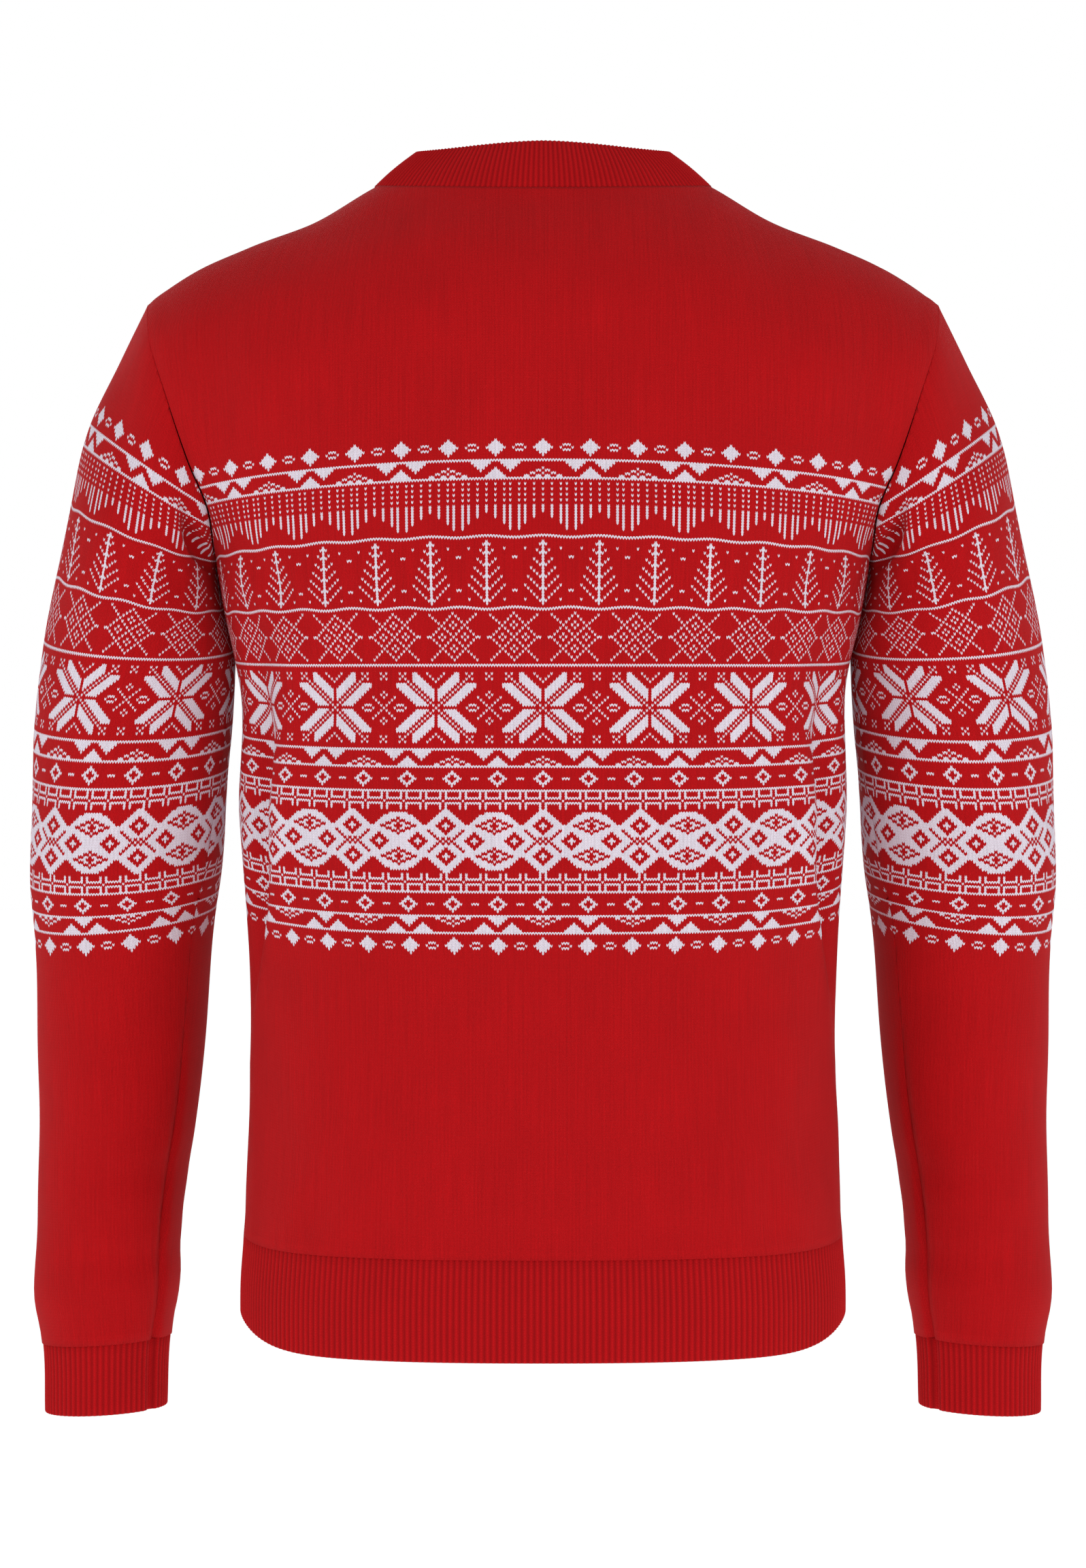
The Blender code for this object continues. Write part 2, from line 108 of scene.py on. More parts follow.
# Shoulder line: distance from the middle, height.
SHOULDER_STATIONS = [
    (0.000, 0.0265),
    (0.050, 0.0195),
    (0.096, 0.0000),
    (0.128, -0.0190),
    (0.168, -0.0354),
    (0.1995, -0.0494),
    (SHOULDER_X, SHOULDER_Z),
    (0.245, -0.0860),
]

# Armhole seam from the armpit up: height, distance from the middle.
ARMHOLE_STATIONS = [
    (ARMPIT_Z, 0.1866),
    (-0.1900, 0.1876),
    (-0.1632, 0.1975),
    (-0.1254, 0.2097),
    (-0.0916, 0.2206),
    (SHOULDER_Z, SHOULDER_X),
]

# Flank fold from its foot up: height, distance of its ridge from the middle, strength.
FOLD_STATIONS = [
    (-0.500, 0.1660, 0.00),
    (-0.474, 0.1640, 0.15),
    (-0.449, 0.1595, 0.40),
    (-0.428, 0.1550, 0.75),
    (-0.408, 0.1510, 1.00),
    (-0.381, 0.1485, 1.00),
    (-0.347, 0.1465, 0.95),
    (-0.321, 0.1430, 0.75),
    (-0.285, 0.1385, 0.40),
    (-0.259, 0.1360, 0.15),
    (-0.235, 0.1340, 0.00),
]

# Sleeve courses: distance along the sleeve, outer point (x, z), inner point (x, z), middle (y),
# half-depth, drop of the back side against the middle.
SLEEVE_STATIONS = [
    (0.000, SHOULDER_X, SHOULDER_Z, 0.1410, -0.1390, 0.000, 0.0600, 0.000),
    (0.045, 0.2420, -0.1000, 0.1530, -0.1700, 0.000, 0.0640, 0.002),
    (0.085, 0.2585, -0.1365, 0.1660, -0.1990, 0.000, 0.0670, 0.004),
    (0.132, 0.2705, -0.1810, 0.1850, -0.2140, -0.003, 0.0690, 0.008),
    (0.168, 0.2790, -0.2210, 0.1852, -0.2410, -0.008, 0.0660, 0.010),
    (0.202, 0.2870, -0.2590, 0.1790, -0.2650, -0.014, 0.0610, 0.010),
    (0.250, 0.2945, -0.3090, 0.1790, -0.3080, -0.024, 0.0575, 0.010),
    (0.275, 0.2960, -0.3370, 0.1815, -0.3330, -0.029, 0.0560, 0.010),
    (0.332, 0.2985, -0.3990, 0.1870, -0.3920, -0.040, 0.0515, 0.009),
    (0.358, 0.2970, -0.4240, 0.1900, -0.4130, -0.045, 0.0500, 0.008),
    (0.400, 0.2960, -0.4700, 0.1950, -0.4600, -0.052, 0.0470, 0.006),
    (0.450, 0.2965, -0.5230, 0.2000, -0.5150, -0.058, 0.0440, 0.004),
    (0.520, 0.2975, -0.5950, 0.2110, -0.5890, -0.064, 0.0400, 0.002),
    (0.570, 0.2975, -0.6460, 0.2160, -0.6420, -0.067, 0.0365, 0.000),
    (0.590, 0.2945, -0.6700, 0.2195, -0.6650, -0.068, 0.0345, 0.000),
    (0.632, 0.2935, -0.7110, 0.2215, -0.7070, -0.069, 0.0320, 0.000),
]

# ---------------------------------------------------------------- the knitting
ROWS = 196
BODY_STITCHES = 155
SLEEVE_STITCHES = 133
BODY_COLUMNS = 160
CHART_HALF = 158
ARMPIT_ROW = 37
ROW_HEIGHT = 0.00143
BOW_WIDTH = 0.243
LIFT_POWER = 4
FRONT_LIFT_SHARE = 0.6

# Courses of the body, from the top of the band down: row, height at the middle, bow (how much it
# sags over BOW_WIDTH), lift at the side seam, stitch width against the even one.
ROW_STATIONS = [
    (-1, -0.1524, -0.0170, 0.0000, 0.985),
    (9, -0.1663, -0.0170, 0.0000, 0.985),
    (16, -0.1762, -0.0155, 0.0000, 0.990),
    (37, -0.2078, -0.0117, 0.0000, 0.992),
    (62, -0.2467, -0.0020, 0.0040, 1.000),
    (82, -0.2776, 0.0000, 0.0070, 1.000),
    (98, -0.3006, 0.0000, 0.0110, 1.000),
    (114, -0.3232, 0.0000, 0.0144, 1.000),
    (131, -0.3457, 0.0000, 0.0165, 1.000),
    (151, -0.3731, 0.0000, 0.0182, 1.000),
    (171, -0.4008, 0.0000, 0.0200, 1.000),
    (188, -0.4232, 0.0000, 0.0220, 1.000),
    (197, -0.4356, 0.0000, 0.0220, 1.000),
]

# Courses of the sleeve: row, distance along the sleeve, turn opposite the underarm seam, turn of
# the chart's middle wale, stitches round.
SLEEVE_ROWS = [
    (-1, 0.0683, 0.0, 0.020, 222.0),
    (9, 0.0850, 0.0, 0.024, 220.0),
    (37, 0.1320, 0.0, 0.034, 219.0),
    (50, 0.1508, 0.0, 0.034, 222.0),
    (62, 0.1680, -0.008, 0.031, 226.0),
    (82, 0.2020, -0.022, 0.021, 234.0),
    (98, 0.2260, -0.033, 0.012, 238.0),
    (114, 0.2500, -0.046, -0.002, 232.0),
    (131, 0.2750, -0.058, -0.016, 226.0),
    (151, 0.3035, -0.072, -0.032, 217.0),
    (171, 0.3320, -0.087, -0.046, 206.0),
    (188, 0.3580, -0.101, -0.059, 194.0),
    (197, 0.3715, -0.104, -0.064, 188.0),
]
CUFF_COURSE = (CUFF_SEAM, -0.100, -0.060, 158.0)
CAP_ROWS = 45.0
CAP_COURSES = 29

# Above the band: the share of the width under the neck, and the heights of the last courses.
NECK_SHARE = 0.46
TOP_COURSES = (1.0, 0.990, 0.975)
PLAIN_TOP = 0.96
BELLY_POWER = 4

# How far the trees draw the courses up: row, height.
TREE_PULL = [(28, 0.0), (37, 0.0005), (50, 0.0), (62, -0.0006), (74, 0.0)]

RIB_PERIOD = 0.0034
NECK_RIB_PERIOD = 0.0030
RIB_DEPTH = 0.0009
RIB_THICKNESS = 0.0026
RIB_COLUMNS = 4
RING_SAMPLES = 4001
# Room between a rib and its seam, and what its rounded edge takes of its height.
RIB_GAP = 0.0003
RIB_ROUND = 0.001
BAND_TOP = 0.97
BAND_BULGE = 0.0012
BAND_GAP = 0.0005
RIDGE_POWER = 0.8
LINING_GROOVE = 0.6
EDGE_FULLNESS = 0.9
EDGE_STEPS = (0.2, 0.4, 0.6, 0.8)
HEM_RINGS = 9
RIB_RINGS = 8
# The seam edge of a rib is tucked under the panel's edge.
TUCK_ALONG = 0.0009
TUCK_IN = 0.0012
CUFF_BLOUSE = 0.0018
CUFF_BLOUSE_AT = 0.570
CUFF_BLOUSE_SPREAD = 0.014
# Where the sleeve swells to touch the body below the armpit.
TOUCH = 0.0040
TOUCH_X = 0.183
TOUCH_Z = -0.244
TOUCH_SPREAD_X = 0.014
TOUCH_SPREAD_Z = 0.019
END_FADE = 0.012
SEAM_DIP = 0.0006
SEAM_DIP_SPREAD = 0.0021
WRIST_SEAM_FROM = 0.40
WRIST_SEAM_RUN = 0.12
WRIST_SEAM_DIP = 0.0030
TURN_IN = 0.0035
WELD = 2e-6
SLIVER = 1e-7
TURNED = [0, 3, 2, 1]
PLAIN_ROW = 0.0055
CURVE_STEPS = 260
NO_AREA = 1e-12

FLOOR_Z = -1.40
FLOOR_REACH = 30.0
FLOOR_LOOK = {
    "Base Color": (0.85, 0.85, 0.85, 1.0),
    "Roughness": 1.0,
    "Specular IOR Level": 0.0,
    "Emission Color": (1.0, 1.0, 1.0, 1.0),
    "Emission Strength": 0.46,
}
# How bright the room is at each height, from 0 at eye height to 1 overhead.
SKY = ((0.40, 1.0), (0.95, 0.35))
LIGHTS = {
    "key": ((-1.5, 2.9, -0.3), 13.0),
    "fill": ((1.7, 2.7, -0.8), 9.0),
    "front_light": ((0.8, -2.8, 0.8), 16.0),
}
LIGHT_SIZE = 1.8
LIT_POINT = (0.0, 0.0, -0.36)
SENSOR = 36.0
LENS = 88.3
EYE = (0.0, 2.2, -0.3413)

# The slope of a stitch's legs, and how much of its width a white stitch fills beside a red one.
V_SLOPE = 1.7
LONE_STITCH = 0.34
# How much of the red yarn shows between the legs of the white stitches, and above and below them.
FLOAT_SHOWS = 0.26
STITCH_GAP = 0.10

# Added to a stitch's place, so that its whole part is never negative.
STITCH_SHIFT = 200.0

# Uneven tone of the yarn: how fine the dye, the lint and the streaks along the wales are, and how
# much each of
# them shows. Then painted shade: how dark the hollows of the knit and the grooves of the ribs are
# painted.
DYE_SCALE = 28.0
DYE_SHARE = 0.16
LINT_SCALE = 1500.0
LINT_SHARE = 0.34
YARN_TONE = 0.76
STREAK_SCALE = (1.2, 0.03, 1.0)
STREAK_SHARE = 0.30
KNIT_SHADE = 0.30
KNIT_SHADE_BASE = 0.66
RIB_SHADE = 0.42
RIB_SHADE_BASE = 0.62
BUMP_DISTANCE = 0.0006
KNIT_BUMP = 0.55
KNIT_LINT = 0.35
RIB_BUMP = 0.5
RIB_LINT = 0.3
RIB_RELIEF = 0.6
YARN_LOOK = {
    "Roughness": 0.86,
    "Specular IOR Level": 0.12,
    "Sheen Weight": 0.035,
    "Sheen Roughness": 0.45,
    "Sheen Tint": (1.0, 0.35, 0.35, 1.0),
}
RED = (0.435, 0.0026, 0.0048, 1.0)
WHITE = (0.75, 0.73, 0.82, 1.0)


def smooth_curve(stations):
    """A smooth curve through stations given as (position, value, value, ...)."""
    table = np.array(stations, dtype=float)
    knots, values = table[:, 0], table[:, 1:]
    slopes = np.gradient(values, knots, axis=0)

    def at(position):
        p = np.clip(np.asarray(position, dtype=float), knots[0], knots[-1])
        i = np.clip(np.searchsorted(knots, p, side="right") - 1, 0, len(knots) - 2)
        step = knots[i + 1] - knots[i]
        t = ((p - knots[i]) / step)[..., None]
        step = step[..., None]
        return (
            (2 * t**3 - 3 * t**2 + 1) * values[i]
            + (t**3 - 2 * t**2 + t) * step * slopes[i]
            + (3 * t**2 - 2 * t**3) * values[i + 1]
            + (t**3 - t**2) * step * slopes[i + 1]
        )

    return at


body_sizes = smooth_curve(BODY_STATIONS)
shoulder_height = smooth_curve(SHOULDER_STATIONS)
armhole_reach = smooth_curve(ARMHOLE_STATIONS)
fold_course = smooth_curve(FOLD_STATIONS)
sleeve_course = smooth_curve(SLEEVE_STATIONS)
row_course = smooth_curve(ROW_STATIONS)
tree_pull = smooth_curve(TREE_PULL)
sleeve_rows = smooth_curve(SLEEVE_ROWS)


def bell(distance, spread):
    return np.exp(-0.5 * (distance / spread) ** 2)


def unit(vectors):
    return vectors / np.maximum(np.linalg.norm(vectors, axis=-1, keepdims=True), NO_AREA)


# ---------------------------------------------------------------- the part's surfaces
def roundness(x, z):
    """How far the body has reached its full depth: 0 on the shoulder line, and 1 well below it."""
    drop = np.clip((shoulder_height(np.abs(x))[..., 0] - z) / SHOULDER_ROUND, 0.0, 1.0)
    return np.sqrt(1.0 - (1.0 - drop) ** 2)


def armhole_depth(z, side):
    swing = np.clip((z - ARMHOLE_MIDDLE) / ARMHOLE_REACH, -1.0, 1.0)
    return ARMHOLE_DEPTH[side] * np.sqrt(1.0 - swing**2)


def body_half_width(z, side):
    """Half-width of the body's section. Above the armpit the section runs on into the sleeve."""
    sizes = body_sizes(z)
    depth = sizes[..., 1] if side > 0 else sizes[..., 2]
    height = np.clip(z, ARMPIT_Z, SHOULDER_Z - BELOW_SHOULDER)
    seam_x = armhole_reach(height)[..., 0]
    full = depth * roundness(seam_x, height)
    share = np.clip(armhole_depth(height, side) / full, 0.0, MOST_SHARE)
    above = seam_x / (1.0 - share**SECTION_POWER) ** (1.0 / SECTION_POWER)
    return np.where(z < ARMPIT_Z, sizes[..., 0], above)


def body_point(x, z, side):
    """Point of the cloth's outer face at (x, z), behind (side 1) or in front (side -1)."""
    x, z = np.broadcast_arrays(np.asarray(x, dtype=float), np.asarray(z, dtype=float))
    sizes = body_sizes(z)
    depth = sizes[..., 1] if side > 0 else sizes[..., 2]
    full = depth * np.maximum(roundness(x, z), TINY)
    width = body_half_width(z, side)
    across = np.clip(np.abs(x) / width, 0.0, 1.0)
    inward = np.clip(1.0 - across**SECTION_POWER, 0.0, 1.0) ** (1.0 / SECTION_POWER)
    y = full * inward
    normal_x = across ** (SECTION_POWER - 1) / width
    normal_y = inward ** (SECTION_POWER - 1) / full
    length = np.hypot(normal_x, normal_y)
    push = np.zeros_like(y)
    if side > 0:
        dent = bell(np.abs(x) - DENT_X, DENT_SPREAD_X) * bell(z - DENT_Z, DENT_SPREAD_Z)
        push = flank_fold(np.abs(x), y, z, full, width) - DENT_DEPTH * dent
    out_x = np.abs(x) + push * normal_x / length
    out_y = y + push * normal_y / length
    return np.stack([np.copysign(out_x, x), side * out_y, z], axis=-1)


def flank_fold(x, y, z, full, width):
    """The soft fold down each flank of the back: a ridge, and the valley outside it."""
    course = fold_course(z)
    ridge_x, strength = course[..., 0], course[..., 1]
    valley_x = ridge_x + (width - ridge_x) * FOLD_VALLEY_SHARE

    def distance(place):
        share = np.clip(place / width, 0.0, 1.0)
        place_y = full * (1.0 - share**SECTION_POWER) ** (1.0 / SECTION_POWER)
        return np.hypot(x - place, y - place_y)

    ridge = FOLD_RIDGE * bell(distance(ridge_x), FOLD_RIDGE_SPREAD)
    valley = FOLD_VALLEY * bell(distance(valley_x), FOLD_VALLEY_SPREAD)
    return strength * (ridge - valley)


def neck_height(x, side):
    inside = np.clip(1.0 - (x / NECK_HALF_WIDTH) ** 2, 0.0, 1.0)
    return -NECK_DROP[side] * inside ** NECK_POWER[side]


def sleeve_tube(distance, turn):
    """Point of the left sleeve's plain tube. turn is 0 outside, a quarter behind, a half inside."""
    distance, turn = np.broadcast_arrays(np.asarray(distance, float), np.asarray(turn, float))
    course = sleeve_course(distance)
    outer, inner = course[..., 0:2], course[..., 2:4]
    middle, half = (outer + inner) / 2, (outer - inner) / 2
    angle = 2 * math.pi * turn
    depth = np.sin(angle) * course[..., 5]
    x = middle[..., 0] + np.cos(angle) * half[..., 0]
    z = middle[..., 1] + np.cos(angle) * half[..., 1] - np.sin(angle) * course[..., 6]
    return np.stack([x, course[..., 4] + depth, z], axis=-1)


def armhole_samples():
    """The armhole seam as turns and distances of the sleeve tube, with the points of the seam."""
    angles = math.pi * np.arange(ARMHOLE_SAMPLES + 1) / ARMHOLE_SAMPLES
    heights = ARMHOLE_MIDDLE + ARMHOLE_REACH * np.cos(angles)
    behind, before = (
        body_point(armhole_reach(heights)[..., 0], heights, side) for side in (1, -1)
    )
    points = np.concatenate([before[:0:-1], behind])
    distances = np.linspace(0.0, CUFF_SEAM, SLEEVE_SAMPLES)
    course = sleeve_course(distances)
    middle = (course[:, 0:2] + course[:, 2:4]) / 2
    half = (course[:, 0:2] - course[:, 2:4]) / 2
    across = unit(half)
    starts, turns = [], []
    for point in points:
        sine = (point[1] - course[:, 4]) / course[:, 5]
        away_x = point[0] - middle[:, 0]
        away_z = point[2] + sine * course[:, 6] - middle[:, 1]
        i = int(np.argmin(np.abs(away_x * across[:, 1] - away_z * across[:, 0])))
        cosine = (away_x[i] * across[i, 0] + away_z[i] * across[i, 1]) / np.linalg.norm(half[i])
        starts.append(distances[i])
        turns.append(math.atan2(sine[i], cosine) / (2 * math.pi))
    turns = np.array(turns)
    turns[0], turns[-1] = -0.5, 0.5
    order = np.argsort(turns)
    return turns[order], np.array(starts)[order], points[order]


ARMHOLE_TURNS, ARMHOLE_STARTS, ARMHOLE_POINTS = armhole_samples()
ARMHOLE_SHIFTS = ARMHOLE_POINTS - sleeve_tube(ARMHOLE_STARTS, ARMHOLE_TURNS)


def around(turn, values):
    """Values given round the armhole, at any turn."""
    place = (turn + 0.5) % 1.0 - 0.5
    return np.interp(place, ARMHOLE_TURNS, values)


def sleeve_point(distance, turn):
    """Point of the left sleeve's outer face, eased into the armhole seam near it."""
    distance, turn = np.broadcast_arrays(np.asarray(distance, float), np.asarray(turn, float))
    ease = np.clip(1.0 - (distance - around(turn, ARMHOLE_STARTS)) / SLEEVE_EASE, 0.0, 1.0)
    blend = ease**2 * (3 - 2 * ease)
    shift = np.stack([around(turn, ARMHOLE_SHIFTS[:, k]) for k in range(3)], axis=-1)
    return sleeve_tube(distance, turn) + blend[..., None] * shift


# ---------------------------------------------------------------- the knitting chart
def span(first, last):
    return list(range(first, last + 1))


def solid(widths):
    """Rows of a solid motif, each given by its width in stitches."""
    return {row: span(0, width // 2) for row, width in enumerate(widths)}


def flipped(motif, height):
    return {height - 1 - row: columns for row, columns in motif.items()}


# Stitches from one motif of a band to the next.
SMALL_PERIOD = 16
TRIANGLE_PERIOD = 32
TREE_PERIOD = 19
LATTICE_PERIOD = 21
STAR_PERIOD = 38
LADDER_PERIOD = 7
MEDALLION_PERIOD = 34

FULL = "full"
DIAMOND = solid([1, 3, 5, 7, 5, 3, 1])
HOLLOW_DIAMOND = {0: [0], 1: [0, 1], 2: [1, 2], 3: [2, 3], 4: [1, 2], 5: [0, 1], 6: [0]}
OVAL = {2: [0, 1], 3: [2], 4: [0, 1]}
DASH = {3: [0, 1]}
POINT_DOWN = {1: span(0, 3), 2: span(0, 2), 3: [0, 1], 4: [0]}
POINT_UP = {3: [0], 4: [0, 1], 5: span(0, 2), 6: span(0, 3)}
HILL = {0: FULL, 3: [0], 4: [1, 2], 5: [0, 3, 4], 6: [1, 2, 5, 6], 7: FULL}
LADDER = {0: FULL, 1: [1], 2: [1], 3: [1, 2, 3], 4: [0], 5: [1, 2, 3], 6: [1], 7: [1]}

ICICLES = {0: 3, 3: 5, 6: 7, 8: 9, 11: 9, 13: 7, 16: 5}
# The rows where a branch of the tree reaches each column.
TREE_BRANCHES = {
    1: (1, 4, 8, 12, 16, 20),
    2: (3, 7, 11, 15, 19),
    3: (6, 10, 14, 18),
    4: (9, 13, 17),
    5: (12, 16),
    6: (15,),
}
# First and last column of the star's arms in each row from its middle.
STEEP_ARMS = {
    **{13: (7, 8), 12: (6, 8), 11: (5, 8), 10: (4, 8), 9: (3, 7), 8: (2, 6), 7: (1, 5)},
    **{6: (1, 4), 5: (1, 3), 4: (1, 2), 3: (1, 1)},
}
SHALLOW_ARMS = {9: (11, 14), **{row: (row + 2, row + 6) for row in range(1, 9)}}


def paint(chart, top, period, centre, motif):
    """Knits a motif, given as its rows' columns left and right of its middle, all along a band."""
    half = (chart.shape[1] - 1) // 2
    repeats = half // period + 2
    for row, columns in motif.items():
        if columns == FULL:
            chart[top + row] = True
            continue
        for k in range(-repeats, repeats + 1):
            for column in columns:
                for place in (centre + k * period - column, centre + k * period + column):
                    if abs(place) <= half:
                        chart[top + row, place + half] = True


def star():
    """The eight-armed star: rows counted from its middle."""
    motif = {row: [] for row in range(15)}
    for arms in (STEEP_ARMS, SHALLOW_ARMS):
        for row, (first, last) in arms.items():
            motif[row] += span(first, last)
    for row in range(1, 13):
        motif[row].append(row)
    for row in range(10, 14):
        motif[row].append(row - 10)
    for row, column in ((0, 0), (13, 11), (13, 13), (11, 13)):
        motif[row].append(column)
    return motif | {-row: columns for row, columns in motif.items()}


def ring_of(row, column=0):
    """A ring of four stitches round one, which is left or right of a motif's middle."""
    return [(row - 1, column), (row + 1, column), (row, column - 1), (row, column + 1)]


def from_points(points):
    motif = {}
    for row, column in points:
        motif.setdefault(row, []).append(column)
    return motif


def between_stars():
    """The small crosses, rings and ovals between two stars: rows counted from their middle."""
    points = [(k, abs(k)) for k in range(-4, 5)]
    for row in (-5, 5):
        points += ring_of(row)
    for row in (-12, 12):
        points += [(row, 0), (row - 1, 1), (row + 1, 1)]
    for row in (-1, 1):
        points += [(row, column) for column in (5, 6, 7)]
    points += [(0, 4), (0, 8)]
    return from_points(points)


def lattice():
    points = [(row, abs(8 - abs(row - 8))) for row in range(17)]
    points += [(row, abs(row - 8)) for row in range(17)]
    points += [(8, 9)]
    for row in (4, 12):
        points += ring_of(row)
    points += ring_of(8, 4)
    return from_points(points)


def tree():
    motif = {row: [0] for row in range(22)}
    for column, starts in TREE_BRANCHES.items():
        for start in starts:
            motif[start].append(column)
    return motif


def is_medallion(column, row):
    """The wide band of medallions and eyes: True where it is white. row counts from its middle."""
    half = MEDALLION_PERIOD // 2
    far = np.abs((column + half) % MEDALLION_PERIOD - half)
    eye = half - far
    down = np.abs(row)
    white = (far + down <= 13) | ((eye + down <= 15) & (down <= 10)) | ((down == 11) & (eye <= 3))
    white &= ~((down == 7) & ((far == 7) | (far == 8)))
    white |= down <= 6
    away = np.abs(down - 6)
    white &= ~((far + away == 2) | (far + away == 3))
    white &= ~((np.abs(eye - 7) + down == 2) | (np.abs(eye - 7) + down == 3))
    white &= ~((far >= 2) & (far <= 6) & (down == far - 2))
    white &= ~((far <= 1) & (down == far))
    white &= ~((eye == 0) & ((down == 9) | (down == 3)))
    white &= ~(((down == 8) | (down == 4)) & ((eye == 1) | (eye == 2)))
    white &= ~(((down == 7) | (down == 5)) & ((eye == 0) | (eye == 3) | (eye == 4)))
    white &= ~((down == 6) & ((eye <= 1) | (eye == 5) | (eye == 6)))
    return white


def knitting_chart(half):
    """The whole band, one value a stitch: rows from its top, columns from -half to half."""
    chart = np.zeros((ROWS + 2, 2 * half + 1), dtype=bool)

    def triangles(top, turned):
        for centre, motif in ((11, POINT_DOWN), (21, POINT_DOWN), (16, POINT_UP), (0, HILL)):
            paint(chart, top, TRIANGLE_PERIOD, centre, flipped(motif, 8) if turned else motif)

    for top in (1, 190):
        paint(chart, top, SMALL_PERIOD, 0, DIAMOND)
        paint(chart, top, SMALL_PERIOD, 8, OVAL)
    for top, turned in ((9, False), (114, False), (181, True)):
        triangles(top, turned)
    for column, length in ICICLES.items():
        rows = [0, 2, 4, 6] + span(8, 7 + length)
        paint(chart, 18, TREE_PERIOD, column, {row: [0] for row in rows})
    for row in (37, 62, 82, 114):
        paint(chart, row, 1, 0, {0: FULL})
    paint(chart, 39, TREE_PERIOD, 0, tree())
    for column, rows in ((6, (2, 20)), (13, (2, 20)), (9, (5, 17)), (10, (5, 17))):
        paint(chart, 39, TREE_PERIOD, column, {row: [0] for row in rows})
    paint(chart, 64, LATTICE_PERIOD, 10, lattice())
    paint(chart, 98, STAR_PERIOD, 0, star())
    paint(chart, 98, STAR_PERIOD, STAR_PERIOD // 2, between_stars())
    for top in (123, 173):
        paint(chart, top, SMALL_PERIOD, 0, HOLLOW_DIAMOND)
        paint(chart, top, SMALL_PERIOD, 8, DASH)
    paint(chart, 131, LADDER_PERIOD, 0, LADDER)
    paint(chart, 164, LADDER_PERIOD, 0, flipped(LADDER, 8))
    columns = np.arange(-half, half + 1)
    for row in range(139, 164):
        chart[row] = is_medallion(columns, row - 151)
    return chart


# ---------------------------------------------------------------- grids of the fine shells
def column_edges(half):
    """Wale edges from the middle out, with the seam as the last one, in stitches."""
    out = np.append(np.arange(0.5, half, 1.0), half)
    return np.concatenate([-out[::-1], out])


def body_line(centre_z, bow, lift, side):
    """A course of the body from the middle to its side: shares, arc lengths and points."""
    steps = np.linspace(0.0, 1.0, CURVE_STEPS)
    share = 1.0 - (1.0 - steps) ** SECTION_POWER
    flat = body_point(share * body_limit(centre_z), np.full_like(share, centre_z), side)
    length = arc_lengths(flat)
    spread = (length / length[-1]) ** LIFT_POWER
    if side < 0:
        spread = FRONT_LIFT_SHARE + (1 - FRONT_LIFT_SHARE) * spread
    z = centre_z + lift * spread + bow * (share * body_limit(centre_z) / BOW_WIDTH) ** 2
    x = share * body_limit(z)
    return x, z, arc_lengths(body_point(x, z, side))


def tree_wave(row, column):
    """The courses above and below the trees are drawn apart by each of them."""
    return tree_pull(row)[0] * np.cos(2 * math.pi * column / TREE_PERIOD)


def body_limit(z):
    """Distance of the side seam, or of the armhole seam above the armpit, from the middle."""
    return np.where(z < ARMPIT_Z, body_sizes(z)[..., 0], armhole_reach(z)[..., 0])


def arc_lengths(points):
    """Lengths from the first point of a line, or from the first row of each of a grid's columns."""
    steps = np.linalg.norm(np.diff(points, axis=0), axis=-1)
    return np.concatenate([np.zeros_like(steps[:1]), np.cumsum(steps, axis=0)])


def grid_of(lines, first, *names):
    """A grid's values by name, from its courses. first is the number of the band's first one."""
    return dict(zip(names, map(np.array, zip(*lines))), first=first)


def panel_grid(side):
    """The panel's fine grid: x, z, stitch columns, rows, and distance from its side seams."""
    edges = column_edges(BODY_COLUMNS)
    numbers = np.arange(-1, ROWS + 2)
    courses = row_course(numbers)
    halves = [body_line(*course[:3], side) for course in courses]
    armpit_pitch = halves[ARMPIT_ROW + 1][2][-1] / BODY_STITCHES
    band = []
    for row, course, (x, z, length) in zip(numbers, courses, halves):
        even = armpit_pitch if row < ARMPIT_ROW else length[-1] / BODY_STITCHES
        pitch = even * course[3]
        place = np.minimum(np.abs(edges) * pitch, length[-1])
        across = np.copysign(np.interp(place, length, x), edges)
        up = np.interp(place, length, z) + tree_wave(row, place / pitch)
        column = np.copysign(place / pitch, edges)
        band.append((across, up, column, np.full(len(edges), float(row)), length[-1] - place))
    upper = upper_part(*band[0][:2], side, armpit_pitch * courses[0][3])
    lines = upper + band + lower_part(*band[-1])
    return grid_of(lines, len(upper), "x", "z", "column", "row", "margin")


def upper_part(low_x, low_z, side, pitch):
    """Courses from the top of the band up to the neck and the shoulder seams, from the top down."""
    edge_x, edge_z = low_x[-1], low_z[-1]
    middle = len(low_x) // 2
    share = np.abs(low_x) / edge_x
    corner = share[np.argmin(np.abs(share - NECK_SHARE))]
    neck = NECK_HALF_WIDTH * np.sin(math.pi / 2 * np.minimum(share / corner, 1.0))
    run = np.maximum(share - corner, 0.0) / (1.0 - corner)
    top_x = neck + (SHOULDER_X - NECK_HALF_WIDTH) * run
    on_neck = share <= corner + TINY
    top_z = np.where(on_neck, neck_height(top_x, side), shoulder_height(top_x)[..., 0])
    count = int(round((top_z[middle] - low_z[middle]) / PLAIN_ROW))
    ups = np.concatenate([TOP_COURSES, PLAIN_TOP * np.arange(count, 0, -1) / count])
    lines = []
    for up in ups:
        height = edge_z + up * (SHOULDER_Z - edge_z)
        chord = edge_x + up * (SHOULDER_X - edge_x)
        belly = (armhole_reach(height)[..., 0] - chord) * share**BELLY_POWER
        x = np.copysign((1 - up) * np.abs(low_x) + up * top_x + belly, low_x)
        z = (1 - up) * low_z + up * top_z
        points = body_point(x, z, side)
        length = arc_lengths(points[middle:] * (1, 1, 0)) + points[middle, 0]
        length = np.concatenate([-length[::-1], length])
        margin = np.abs(length[-1]) - np.abs(length)
        lines.append((x, z, length / pitch, (low_z - z) / ROW_HEIGHT, margin))
    return lines


